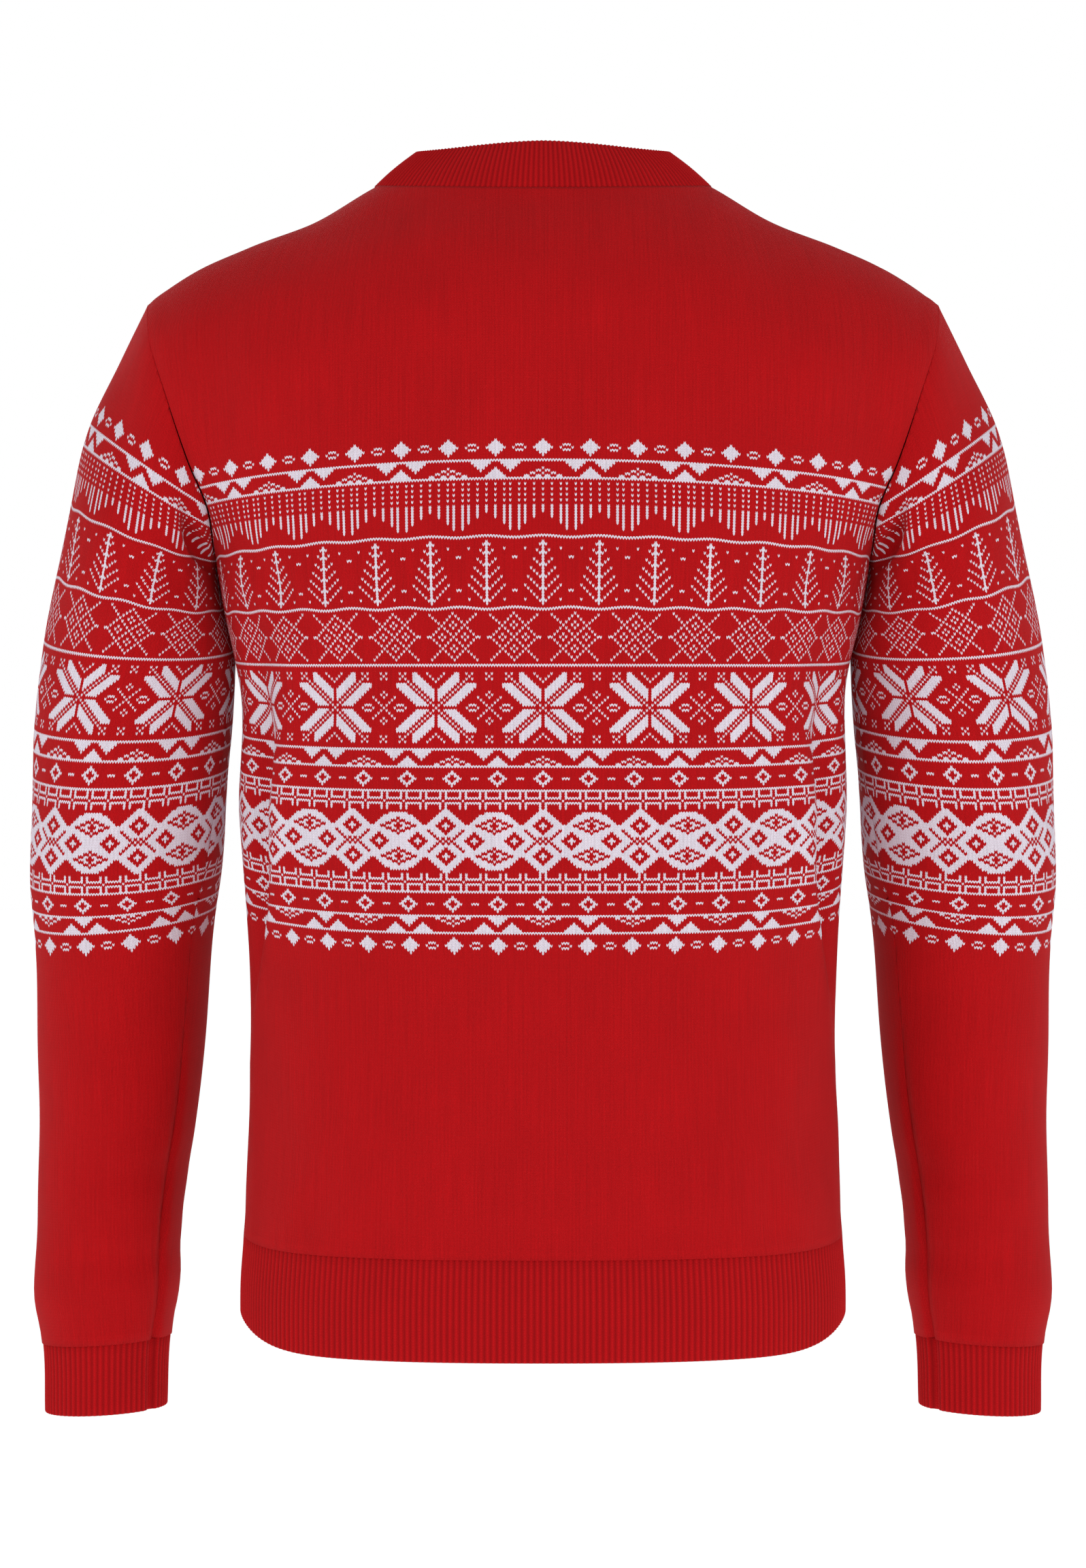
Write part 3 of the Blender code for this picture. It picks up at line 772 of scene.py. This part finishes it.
def lower_part(high_x, high_z, column, _, margin):
    """Courses from the foot of the band down to the hem seam."""
    share = np.abs(high_x) / body_limit(high_z)
    seam = HEM_SEAM_Z + HEM_SEAM_SIDE_RISE * share**SIDE_RISE_POWER
    count = int(round((high_z[len(high_z) // 2] - HEM_SEAM_Z) / PLAIN_ROW))
    lines = []
    for down in np.arange(1, count + 1) / count:
        z = (1 - down) * high_z + down * seam
        x = np.copysign(share * body_limit(z), high_x)
        lines.append((x, z, column, ROWS + (high_z - z) / ROW_HEIGHT, margin))
    return lines


def sleeve_grid():
    """The left sleeve's fine grid: points, stitch columns, rows and distance from its seams."""
    edges = column_edges(SLEEVE_STITCHES)
    cap = (np.arange(1, CAP_COURSES + 1) / (CAP_COURSES + 1)) ** 2
    first = SLEEVE_ROWS[0]
    plan = [(d * first[1], *first[2:], -1.0 - (1 - d) * CAP_ROWS) for d in cap]
    plan += [(*sleeve_rows(row), float(row)) for row in range(-1, ROWS + 2)]
    end = plan[-1]
    count = int(round((CUFF_SEAM - end[0]) / PLAIN_ROW))
    for down in np.arange(1, count + 1) / count:
        course = [high + down * (low - high) for high, low in zip(end, CUFF_COURSE)]
        plan.append((*course, end[4] + (course[0] - end[0]) / ROW_HEIGHT))
    armpit_length = sleeve_line(*sleeve_rows(ARMPIT_ROW)[:3])[1]
    armpit_round = armpit_length[-1] - armpit_length[0]
    lines = []
    for distance, seam, middle, stitches, row in plan:
        turns, length = sleeve_line(distance, seam, middle)
        full_round = armpit_round if row < ARMPIT_ROW else length[-1] - length[0]
        pitch = full_round / stitches
        place = np.clip(edges * pitch, length[0], length[-1])
        place[0], place[-1] = length[0], length[-1]
        pulled = distance - tree_wave(row, place / pitch)
        points = sleeve_point(pulled, np.interp(place, length, turns))
        margin = np.minimum(place - length[0], length[-1] - place)
        lines.append((points, place / pitch, np.full(len(edges), row), margin, [distance]))
    return grid_of(lines, len(cap), "points", "column", "row", "margin", "distance")


def sleeve_line(distance, seam, middle):
    """A course round the sleeve, from its front seam to its back one: turns and lengths.

    seam is the turn opposite the underarm seam, and lengths count from the middle wale's turn.
    """
    first, last = seam - 0.5, seam + 0.5
    inside = ARMHOLE_STARTS > distance
    if np.any(inside & (ARMHOLE_TURNS < 0)):
        first = armhole_crossing(distance, -1)
    if np.any(inside & (ARMHOLE_TURNS > 0)):
        last = armhole_crossing(distance, 1)
    turns = np.linspace(first, last, 2 * CURVE_STEPS + 1)
    length = arc_lengths(sleeve_point(distance, turns))
    length -= np.interp(np.clip(middle, first, last), turns, length)
    return turns, length


def armhole_crossing(distance, sign):
    """The turn where a course meets the armhole seam."""
    chosen = np.sign(ARMHOLE_TURNS) == sign
    turns, starts = np.abs(ARMHOLE_TURNS[chosen]), ARMHOLE_STARTS[chosen]
    order = np.argsort(turns)
    starts = np.maximum.accumulate(starts[order])
    return sign * np.interp(distance, starts, turns[order])


def grid_normals(points, outward):
    across = np.gradient(points, axis=1)
    down = np.gradient(points, axis=0)
    crossed = np.cross(across, down)
    normals = unit(crossed)
    flat = np.linalg.norm(crossed, axis=-1) < NO_AREA
    middle, count = points.shape[1] // 2, points.shape[1]
    for column in range(middle + 1, count):
        normals[flat[:, column], column] = normals[flat[:, column], column - 1]
    for column in range(middle - 1, -1, -1):
        normals[flat[:, column], column] = normals[flat[:, column], column + 1]
    return normals * np.sign(np.sum(normals * outward))


# ---------------------------------------------------------------- creases
# A crease reaches further in depth than across, fades at its ends and has a soft lip beside it.
CREASE_REACH = 0.25
CREASE_STEPS = 25
CREASE_END = 0.08
LIP_SHARE = 0.35
LIP_AWAY = 2.4
WAVES_IN = 1.2
BODY_WAVES = 0.0006
SLEEVE_WAVES = 0.0005
BODY_FADE = 0.012
SLEEVE_FADE = 0.005
# Soft creases: where it starts, passes and ends (left side; x is mirrored), depth, spread.
BODY_CREASES = [
    ((0.172, 0.060, -0.205), (0.150, 0.085, -0.228), (0.128, 0.100, -0.262), 0.0022, 0.0060),
    ((0.176, 0.050, -0.226), (0.160, 0.075, -0.250), (0.142, 0.090, -0.290), 0.0018, 0.0055),
    ((0.160, 0.080, -0.492), (0.152, 0.088, -0.520), (0.150, 0.090, -0.560), 0.0018, 0.0080),
    ((0.120, 0.103, -0.560), (0.128, 0.098, -0.580), (0.134, 0.093, -0.600), 0.0014, 0.0070),
    ((0.172, -0.055, -0.200), (0.150, -0.085, -0.230), (0.128, -0.102, -0.268), 0.0030, 0.0070),
    ((0.176, -0.045, -0.230), (0.162, -0.072, -0.262), (0.150, -0.090, -0.305), 0.0024, 0.0065),
    ((0.158, -0.085, -0.330), (0.150, -0.092, -0.390), (0.152, -0.090, -0.450), 0.0028, 0.0085),
    ((0.150, -0.092, -0.500), (0.146, -0.096, -0.540), (0.148, -0.094, -0.585), 0.0018, 0.0080),
]
SLEEVE_CREASES = [
    ((0.198, 0.055, -0.186), (0.197, 0.050, -0.213), (0.180, 0.030, -0.227), 0.0090, 0.0034),
    ((0.200, 0.060, -0.222), (0.222, 0.062, -0.236), (0.246, 0.052, -0.238), 0.0016, 0.0050),
    ((0.188, 0.020, -0.300), (0.212, 0.030, -0.312), (0.240, 0.032, -0.314), 0.0014, 0.0060),
    ((0.196, -0.066, -0.330), (0.228, -0.084, -0.318), (0.262, -0.078, -0.300), 0.0028, 0.0065),
    ((0.200, -0.070, -0.360), (0.232, -0.090, -0.352), (0.270, -0.080, -0.338), 0.0026, 0.0065),
    ((0.206, -0.074, -0.392), (0.236, -0.094, -0.392), (0.272, -0.086, -0.382), 0.0020, 0.0070),
    ((0.204, -0.030, -0.560), (0.232, -0.026, -0.572), (0.266, -0.030, -0.570), 0.0012, 0.0060),
    ((0.204, -0.050, -0.610), (0.236, -0.030, -0.622), (0.276, -0.040, -0.616), 0.0012, 0.0055),
]


def crease_depth(points, creases):
    """How far soft troughs sink the cloth at each point. Creases are mirrored left and right."""
    depth = np.zeros(points.shape[:-1])
    mirrored = np.abs(points[..., 0])
    for start, middle, end, most, spread in creases:
        near = np.full_like(depth, np.inf)
        fade = np.zeros_like(depth)
        for t in np.linspace(0.0, 1.0, CREASE_STEPS):
            weights = ((1 - t) ** 2, 2 * t * (1 - t), t**2)
            place = np.dot(weights, (start, middle, end))
            aside = np.hypot(mirrored - place[0], points[..., 2] - place[2])
            gap = np.hypot(aside, CREASE_REACH * (points[..., 1] - place[1]))
            closer = gap < near
            near = np.where(closer, gap, near)
            swell = math.sin(math.pi * (CREASE_END + (1 - 2 * CREASE_END) * t))
            fade = np.where(closer, swell, fade)
        lip = LIP_SHARE * bell(near - LIP_AWAY * spread, spread)
        depth += most * fade * (bell(near, spread) - lip)
    return depth


def end_fade(points):
    """0 on the first and last course of a piece, and 1 away from them."""
    gone = arc_lengths(points)
    return np.clip(np.minimum(gone, gone[-1] - gone) / END_FADE, 0.0, 1.0)


def slow_waves(points, strength):
    """The faint unevenness of relaxed cloth, nearly all inward."""
    x, y, z = np.moveaxis(points, -1, 0)
    return strength * (
        WAVES_IN
        + np.sin(41 * x + 1.3) * np.sin(33 * z + 0.4)
        + 0.6 * np.sin(67 * x + 29 * y - 0.8) * np.sin(52 * z + 2.1)
        + 0.4 * np.sin(23 * x - 71 * y + 88 * z)
    )


# ---------------------------------------------------------------- meshes
def mesh_of(name, points, faces, uvs):
    mesh = bpy.data.meshes.new(name)
    mesh.from_pydata(points.reshape(-1, 3).tolist(), [], faces.reshape(-1, 4).tolist())
    for layer, values in uvs.items():
        data = mesh.uv_layers.new(name=layer).data
        data.foreach_set("uv", values.astype(np.float32).ravel())
    return mesh


def put(name, data, place=(0.0, 0.0, 0.0)):
    thing = bpy.data.objects.new(name, data)
    thing.location = place
    bpy.context.collection.objects.link(thing)
    return thing


def smooth_piece(name, mesh):
    mesh.shade_smooth()
    return put(name, mesh)


def corners(values):
    """The values at the four corners of each face of a grid."""
    return np.stack([values[:-1, :-1], values[:-1, 1:], values[1:, 1:], values[1:, :-1]], axis=2)


def uv_corners(u, v):
    """UVs of a grid's faces, from the u of its columns and the v of its rows."""
    return corners(np.stack(np.broadcast_arrays(u[None, :], v[:, None]), axis=-1))


def shell(name, points, grid, chart, outward):
    """A shell with one face a stitch inside the band. chart says which stitches are white."""
    first = grid["first"]
    count_r, count_c = points.shape[:2]
    quads = corners(np.arange(count_r * count_c).reshape(count_r, count_c))
    stitch = corners(np.stack([grid["column"], grid["row"]], axis=-1))
    along = 1.0 - np.arange(count_r) / (count_r - 1)
    bake = uv_corners(np.arange(count_c) / (count_c - 1), along)
    colours = np.zeros((count_r - 1, count_c - 1, 4, 4))
    colours[..., 3] = 1.0
    beside = colours.copy()
    half = (chart.shape[1] - 1) // 2
    knit_columns = np.clip(np.arange(count_c - 1) - (count_c - 1) // 2, -half, half) + half
    for row in range(ROWS + 2):
        own, above, below = (
            chart[min(max(other, 0), ROWS + 1)][knit_columns] for other in (row, row - 1, row + 1)
        )
        for channel, values in enumerate((own, above, below)):
            colours[first + row, :, :, channel] = values[:, None]
        for channel, values in enumerate((np.roll(own, 1), np.roll(own, -1))):
            beside[first + row, :, :, channel] = values[:, None]
    normal = np.cross(points[1:, 1:] - points[:-1, :-1], points[1:, :-1] - points[:-1, 1:])
    if np.sum(normal * outward[:-1, :-1]) < 0:
        quads, stitch, bake = (a[:, :, TURNED] for a in (quads, stitch, bake))
    mesh = mesh_of(name, points, quads, {"OFBake": bake, "stitch": stitch})
    for layer, values in (("knit", colours), ("beside", beside)):
        data = mesh.color_attributes.new(layer, "FLOAT_COLOR", "CORNER").data
        data.foreach_set("color", values.astype(np.float32).ravel())
    maker = bmesh.new()
    maker.from_mesh(mesh)
    bmesh.ops.remove_doubles(maker, verts=maker.verts, dist=WELD)
    bmesh.ops.dissolve_degenerate(maker, edges=maker.edges, dist=SLIVER)
    maker.normal_update()
    rim = [edge for edge in maker.edges if edge.is_boundary]
    ways = {vertex_key(vert): vert.normal.copy() for edge in rim for vert in edge.verts}
    for vert in bmesh.ops.extrude_edge_only(maker, edges=rim)["geom"]:
        if isinstance(vert, bmesh.types.BMVert):
            vert.co -= ways[vertex_key(vert)] * TURN_IN
    maker.to_mesh(mesh)
    maker.free()
    return smooth_piece(name, mesh)


def vertex_key(vert):
    return tuple(round(c, 7) for c in vert.co)


def rib_tube(name, outer, ribs):
    """A closed ribbed wall. outer holds its rings from the seam to the open edge."""
    count_c = outer.shape[1]
    middle = outer.mean(axis=1, keepdims=True)
    across = np.roll(outer, -1, axis=1) - np.roll(outer, 1, axis=1)
    normals = unit(np.cross(across, np.gradient(outer, axis=0)))
    normals *= np.sign(np.sum(normals * (outer - middle)))
    u = np.arange(count_c + 1) / (count_c / ribs)
    ridge = (0.5 + 0.5 * np.cos(2 * math.pi * u[:-1])) ** RIDGE_POWER
    groove = RIB_DEPTH * (1.0 - ridge)[None, :, None]
    inner_groove = RIB_DEPTH * ridge[None, :, None]
    tucked = outer[:1] + unit(outer[:1] - outer[1:2]) * TUCK_ALONG - normals[:1] * TUCK_IN
    face = np.concatenate([tucked, outer - normals * groove])
    lining = outer - normals * (RIB_THICKNESS - LINING_GROOVE * inner_groove)
    along = unit(outer[-1] - outer[-2])
    radius = RIB_THICKNESS / 2
    rounds = []
    for step in EDGE_STEPS:
        angle = math.pi * step
        outward = radius * (math.cos(angle) - 1) - groove[0] * (1 - step)
        forward = radius * math.sin(angle) * EDGE_FULLNESS
        rounds.append(outer[-1] + normals[-1] * outward + along * forward)
    rings = np.concatenate([face, np.array(rounds), lining[::-1]])
    count = len(rings)
    index = np.arange(count * count_c).reshape(count, count_c)
    quads = corners(np.pad(index, ((0, 1), (0, 1)), mode="wrap"))
    height = arc_lengths(outer).mean(axis=1) / ROW_HEIGHT
    edge = np.full(len(rounds), height[-1])
    v = np.concatenate([height[:1], height, edge, height[::-1], height[:1]])
    stitch = uv_corners(u, v)
    bake = uv_corners(u / ribs, np.arange(count + 1) / count)
    normal = np.cross(rings[1, 1] - rings[0, 0], rings[1, 0] - rings[0, 1])
    if np.dot(normal, normals[0, 0]) < 0:
        quads, stitch, bake = (a[:, :, TURNED] for a in (quads, stitch, bake))
    return smooth_piece(name, mesh_of(name, rings, quads, {"OFBake": bake, "stitch": stitch}))


# ---------------------------------------------------------------- materials
class Value:
    """A number that a material works out at each point, with the usual arithmetic."""

    def __init__(self, nodes, socket):
        self.nodes, self.socket = nodes, socket

    def math(self, operation, other=0.0):
        return self.nodes.math(operation, self, other)

    def __add__(self, other):
        return self.math("ADD", other)

    def __sub__(self, other):
        return self.math("SUBTRACT", other)

    def __rsub__(self, other):
        return self.nodes.math("SUBTRACT", other, self)

    def __mul__(self, other):
        return self.math("MULTIPLY", other)

    def __lt__(self, other):
        return self.math("LESS_THAN", other)

    def __gt__(self, other):
        return self.math("GREATER_THAN", other)

    def __abs__(self):
        return self.math("ABSOLUTE")

    def fraction(self):
        return self.math("FRACT")

    def sine(self):
        return self.math("SINE")

    def or_more(self, other):
        return self.math("MAXIMUM", other)


class Nodes:
    """A material and a short way to write its node tree."""

    def __init__(self, name):
        self.material = bpy.data.materials.new(name)
        self.material.use_nodes = True
        self.tree = self.material.node_tree
        self.shader = self.tree.nodes["Principled BSDF"]

    def node(self, kind, **settings):
        node = self.tree.nodes.new("ShaderNode" + kind)
        for name, value in settings.items():
            setattr(node, name, value)
        return node

    def feed(self, socket, value):
        if isinstance(value, Value):
            value = value.socket
        if isinstance(value, bpy.types.NodeSocket):
            self.tree.links.new(value, socket)
        else:
            socket.default_value = value

    def math(self, operation, *values):
        node = self.node("Math", operation=operation)
        for socket, value in zip(node.inputs, values):
            self.feed(socket, value)
        return Value(self, node.outputs[0])

    def mix(self, factor, first, second, blend="MIX"):
        node = self.node("Mix", data_type="RGBA", blend_type=blend)
        for index, value in ((0, factor), (6, first), (7, second)):
            self.feed(node.inputs[index], value)
        return node.outputs[2]

    def shaded(self, colour, level):
        grey = self.node("CombineXYZ")
        for socket in grey.inputs:
            self.feed(socket, level)
        return self.mix(1.0, colour, grey.outputs[0], "MULTIPLY")

    def colours(self, name):
        split = self.node("SeparateColor")
        self.feed(split.inputs[0], self.node("Attribute", attribute_name=name).outputs["Color"])
        return [Value(self, socket) for socket in split.outputs]

    def noise(self, scale, detail, place):
        node = self.node("TexNoise")
        for name, value in (("Scale", scale), ("Detail", detail), ("Vector", place)):
            self.feed(node.inputs[name], value)
        return Value(self, node.outputs["Fac"])

    def stitch_uv(self):
        return self.node("UVMap", uv_map="stitch").outputs["UV"]

    def finish(self, colour, height, strength):
        bump = self.node("Bump")
        look = (("Base Color", colour), ("Normal", bump.outputs["Normal"]), *YARN_LOOK.items())
        relief = {"Strength": strength, "Distance": BUMP_DISTANCE, "Height": height}
        for name, value in relief.items():
            self.feed(bump.inputs[name], value)
        for name, value in look:
            self.feed(self.shader.inputs[name], value)
        return self.material


def stitch_place(nodes):
    """Place inside a stitch: distance from its middle, and depth below the V of its top edge."""
    split = nodes.node("SeparateXYZ")
    nodes.feed(split.inputs["Vector"], nodes.stitch_uv())
    column, row = Value(nodes, split.outputs["X"]), Value(nodes, split.outputs["Y"])
    aside = (column + (STITCH_SHIFT + 0.5)).fraction() - 0.5
    beside = abs(aside)
    depth = (row + STITCH_SHIFT).fraction() + (beside - 0.25) * V_SLOPE
    return aside, beside, depth


def yarn_tone(nodes, colour):
    """Slightly uneven dye and lint, so that no area is one flat colour."""
    place = nodes.node("TexCoord").outputs["Object"]
    lint = nodes.noise(LINT_SCALE, 2.0, place)
    level = nodes.noise(DYE_SCALE, 3.0, place) * DYE_SHARE + lint * LINT_SHARE + YARN_TONE
    return nodes.shaded(colour, level), lint


def wale_streaks(nodes):
    """Some wales stand out from their neighbours for a while, as in any fine knit."""
    stretch = nodes.node("VectorMath", operation="MULTIPLY")
    nodes.feed(stretch.inputs[0], nodes.stitch_uv())
    nodes.feed(stretch.inputs[1], STREAK_SCALE)
    return nodes.noise(1.0, 2.0, stretch.outputs["Vector"])


def leg_swell(depth):
    return ((depth + 2.0).fraction() * math.pi).sine()


def knit_material():
    nodes = Nodes("fine_knit")
    aside, beside, depth = stitch_place(nodes)
    own, above, below = nodes.colours("knit")
    left, right, _ = nodes.colours("beside")
    over, under = depth < 0.0, depth > 1.0
    narrow = beside < LONE_STITCH
    to_right = aside > 0.0
    neighbour = right * to_right + left * (1.0 - to_right)
    white = own * (1.0 - over - under) * narrow.or_more(neighbour)
    white = white + above * over + below * (under * narrow.or_more(own))
    for edge, other in ((0.0, above), (1.0, below)):
        white = white * (1.0 - (abs(depth - edge) < STITCH_GAP) * (1.0 - own * other))
    relief = (beside * (2 * math.pi)).sine() * (leg_swell(depth) * 0.5 + 0.5)
    shows = relief * FLOAT_SHOWS + (1.0 - FLOAT_SHOWS)
    colour, lint = yarn_tone(nodes, nodes.mix(white * shows, RED, WHITE))
    # Painted shade: darker in the hollows between the legs of each stitch, with the wales' faint
    # random streaks of tone.
    hollow_shade_and_streaks = relief * KNIT_SHADE + KNIT_SHADE_BASE + wale_streaks(nodes) * STREAK_SHARE
    return nodes.finish(nodes.shaded(colour, hollow_shade_and_streaks), relief + lint * KNIT_LINT, KNIT_BUMP)


def rib_material():
    nodes = Nodes("rib_knit")
    _, beside, depth = stitch_place(nodes)
    ridge = 1.0 - beside * 2.0
    colour, lint = yarn_tone(nodes, RED)
    # Painted shade: darker in the grooves between the ribs, lighter on their crowns.
    colour = nodes.shaded(colour, ridge * RIB_SHADE + RIB_SHADE_BASE)
    height = leg_swell(depth) * ridge * RIB_RELIEF + lint * RIB_LINT
    return nodes.finish(colour, height, RIB_BUMP)


# ---------------------------------------------------------------- the pieces
def dented(grid, points, outward, dip, fade, creases, waves):
    """The cloth sunk along its normals by its seams, creases and slow waves, and never proud."""
    soft = np.clip(grid["margin"] / fade, 0.0, 1.0) * end_fade(points)
    sunk = dip + (crease_depth(points, creases) + slow_waves(points, waves)) * soft
    return grid_normals(points, outward), np.maximum(sunk, 0.0)


def make_panel(name, side, chart):
    grid = panel_grid(side)
    points = body_point(grid["x"], grid["z"], side)
    outward = np.broadcast_to(np.array([0.0, float(side), 0.0]), points.shape)
    dip = SEAM_DIP * bell(grid["margin"], SEAM_DIP_SPREAD)
    normals, dip = dented(grid, points, outward, dip, BODY_FADE, BODY_CREASES, BODY_WAVES)
    return shell(name, points - normals * dip[..., None], grid, chart, outward)


def make_sleeve(name, mirror, chart):
    grid = sleeve_grid()
    points, distance = grid["points"], grid["distance"]
    outward = points - points.mean(axis=1, keepdims=True)
    deep = np.clip((distance - WRIST_SEAM_FROM) / WRIST_SEAM_RUN, 0.0, 1.0)
    dip = (SEAM_DIP + deep * WRIST_SEAM_DIP) * bell(grid["margin"], SEAM_DIP_SPREAD)
    normals, dip = dented(grid, points, outward, dip, SLEEVE_FADE, SLEEVE_CREASES, SLEEVE_WAVES)
    from_touch = (points - (TOUCH_X, 0.0, TOUCH_Z)) / (TOUCH_SPREAD_X, 1.0, TOUCH_SPREAD_Z)
    touch = TOUCH * bell(np.hypot(from_touch[..., 0], from_touch[..., 2]), 1.0)
    blouse = CUFF_BLOUSE * bell(distance - CUFF_BLOUSE_AT, CUFF_BLOUSE_SPREAD)
    points = points - normals * (dip - touch - blouse)[..., None]
    flip = np.array([mirror, 1.0, 1.0])
    return shell(name, points * flip, grid, chart, outward * flip)


def rib_places(curve, period):
    """Places of a rib's columns along a closed curve, evenly spaced, with its length and ribs."""
    t = np.linspace(0.0, 1.0, RING_SAMPLES)
    length = arc_lengths(curve(t))
    ribs = int(round(length[-1] / period))
    count = ribs * RIB_COLUMNS
    return np.interp(np.arange(count) / count * length[-1], length, t), length[-1], ribs


def ring_swing(t):
    """From -1 at the right to 1 at the left behind, and back in front, as t goes from 0 to 1."""
    return np.where(t < 0.5, t * 4 - 1, 3 - t * 4)


def body_ring(t, x, z):
    """Points of the body at (x, z): behind in the first half of t, and in front in the second."""
    behind, before = (body_point(x, z(side), side) for side in (1, -1))
    return np.where((t < 0.5)[:, None], behind, before)


def neck_ring(t):
    x = NECK_HALF_WIDTH * np.sin(math.pi / 2 * ring_swing(t))
    return body_ring(t, x, lambda side: neck_height(x, side))


def hem_ring(t, down):
    """Round the hem, from its seam at 0 to its open edge at 1."""
    swing = ring_swing(t)
    share = np.sign(swing) * (1.0 - (1.0 - np.abs(swing)) ** SECTION_POWER)
    rise = np.abs(share) ** SIDE_RISE_POWER
    top = HEM_SEAM_Z + HEM_SEAM_SIDE_RISE * rise - RIB_GAP
    bottom = HEM_BOTTOM_Z + RIB_ROUND + HEM_BOTTOM_SIDE_RISE * rise
    z = top + (bottom - top) * down
    return body_ring(t, share * body_sizes(z)[..., 0], lambda side: z)


def make_hem(name):
    t, _, ribs = rib_places(lambda t: hem_ring(t, 0.5), RIB_PERIOD)
    rings = [hem_ring(t, down) for down in np.linspace(0.0, 1.0, HEM_RINGS)]
    return rib_tube(name, np.array(rings), ribs)


def make_cuff(name, mirror):
    distances = np.linspace(CUFF_SEAM + RIB_GAP, CUFF_END - RIB_ROUND, RIB_RINGS)
    middle = (CUFF_SEAM + CUFF_END) / 2
    t, length, ribs = rib_places(lambda t: sleeve_tube(middle, t), RIB_PERIOD)
    rings = np.array([sleeve_tube(distance, t) for distance in distances])
    from_seam = np.abs(t - (CUFF_COURSE[1] + 0.5)) * length
    pinch = (SEAM_DIP + WRIST_SEAM_DIP) * bell(from_seam, SEAM_DIP_SPREAD)
    inward = unit(rings.mean(axis=1, keepdims=True) - rings)
    return rib_tube(name, (rings + inward * pinch[None, :, None]) * (mirror, 1.0, 1.0), ribs)


def make_neckband(name):
    t, _, ribs = rib_places(neck_ring, NECK_RIB_PERIOD)
    seam = neck_ring(t)
    inward = unit(seam * (-1.0, -1.0, 0.0) + (0.0, NECK_CENTRE_Y, 0.0))
    sideways = inward[:, :1] ** 2
    lean = BAND_LEAN + (BAND_SIDE_LEAN - BAND_LEAN) * sideways
    rise = BAND_RISE + (BAND_SIDE_RISE - BAND_RISE) * sideways
    climb = inward * lean + rise * (0.0, 0.0, 1.0)
    rows = []
    for up in np.linspace(0.0, BAND_TOP, RIB_RINGS):
        bulge = BAND_BULGE * math.sin(math.pi * up)
        rows.append(seam + climb * up + BAND_GAP * unit(climb) - inward * bulge)
    return rib_tube(name, np.array(rows), ribs)


# ---------------------------------------------------------------- studio
def area_light(name, place, power):
    light = bpy.data.lights.new(name, "AREA")
    light.shape = "DISK"
    light.size = LIGHT_SIZE
    light.energy = power
    lamp = put(name, light, place)
    direction = Vector(LIT_POINT) - lamp.location
    lamp.rotation_euler = direction.to_track_quat("-Z", "Y").to_euler()


def studio_world():
    """A white room, bright all round at eye height and dimmer overhead."""
    world = bpy.data.worlds.new("studio")
    world.use_nodes = True
    tree = world.node_tree
    background = tree.nodes["Background"]
    place = tree.nodes.new("ShaderNodeTexCoord")
    split = tree.nodes.new("ShaderNodeSeparateXYZ")
    ramp = tree.nodes.new("ShaderNodeValToRGB")
    for element, (height, level) in zip(ramp.color_ramp.elements, SKY):
        element.position = height
        element.color = (level, level, level, 1.0)
    tree.links.new(place.outputs["Generated"], split.inputs[0])
    tree.links.new(split.outputs["Z"], ramp.inputs["Fac"])
    tree.links.new(ramp.outputs["Color"], background.inputs["Color"])
    background.inputs["Strength"].default_value = 1.0
    bpy.context.scene.world = world
    bpy.context.scene.view_settings.view_transform = "Standard"


def studio_floor():
    mesh = bpy.data.meshes.new("floor")
    square = [(-1, -1, 0), (1, -1, 0), (1, 1, 0), (-1, 1, 0)]
    mesh.from_pydata([tuple(FLOOR_REACH * c for c in corner) for corner in square], [], [range(4)])
    floor = put("floor", mesh, (0.0, 0.0, FLOOR_Z))
    pale = Nodes("floor")
    for name, value in FLOOR_LOOK.items():
        pale.feed(pale.shader.inputs[name], value)
    mesh.materials.append(pale.material)


def studio():
    studio_world()
    studio_floor()
    for name, (place, power) in LIGHTS.items():
        area_light(name, place, power)


def camera():
    data = bpy.data.cameras.new("camera")
    data.sensor_width = SENSOR
    data.lens = LENS
    eye = put("camera", data, EYE)
    eye.rotation_euler = (math.pi / 2, 0.0, math.pi)
    bpy.context.scene.camera = eye


def main():
    camera()
    materials = {"knit": knit_material(), "rib": rib_material()}
    chart = knitting_chart(CHART_HALF)
    # Piece, CAD node, slot, and the flat cut's width, length and area.
    made = [
        (make_panel("back_shell", 1, chart), "back", "knit", 0.49, 0.66, 0.27),
        (make_panel("front_shell", -1, chart), "front", "knit", 0.49, 0.60, 0.26),
        (make_sleeve("sleeve_left_shell", 1.0, chart), "sleeve_left", "knit", 0.36, 0.60, 0.17),
        (make_sleeve("sleeve_right_shell", -1.0, chart), "sleeve_right", "knit", 0.36, 0.60, 0.17),
        (make_hem("hem_shell"), "hem_rib", "rib", 0.98, 0.055, 0.0539),
        (make_cuff("cuff_left_shell", 1.0), "cuff_left", "rib", 0.24, 0.042, 0.0100),
        (make_cuff("cuff_right_shell", -1.0), "cuff_right", "rib", 0.24, 0.042, 0.0100),
        (make_neckband("neckband_shell"), "neckband", "rib", 0.54, 0.031, 0.0166),
    ]
    for piece, node, slot, width, length, area in made:
        piece.data.materials.append(materials[slot])
        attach(piece, "root")
        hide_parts(node)
    studio()


main()
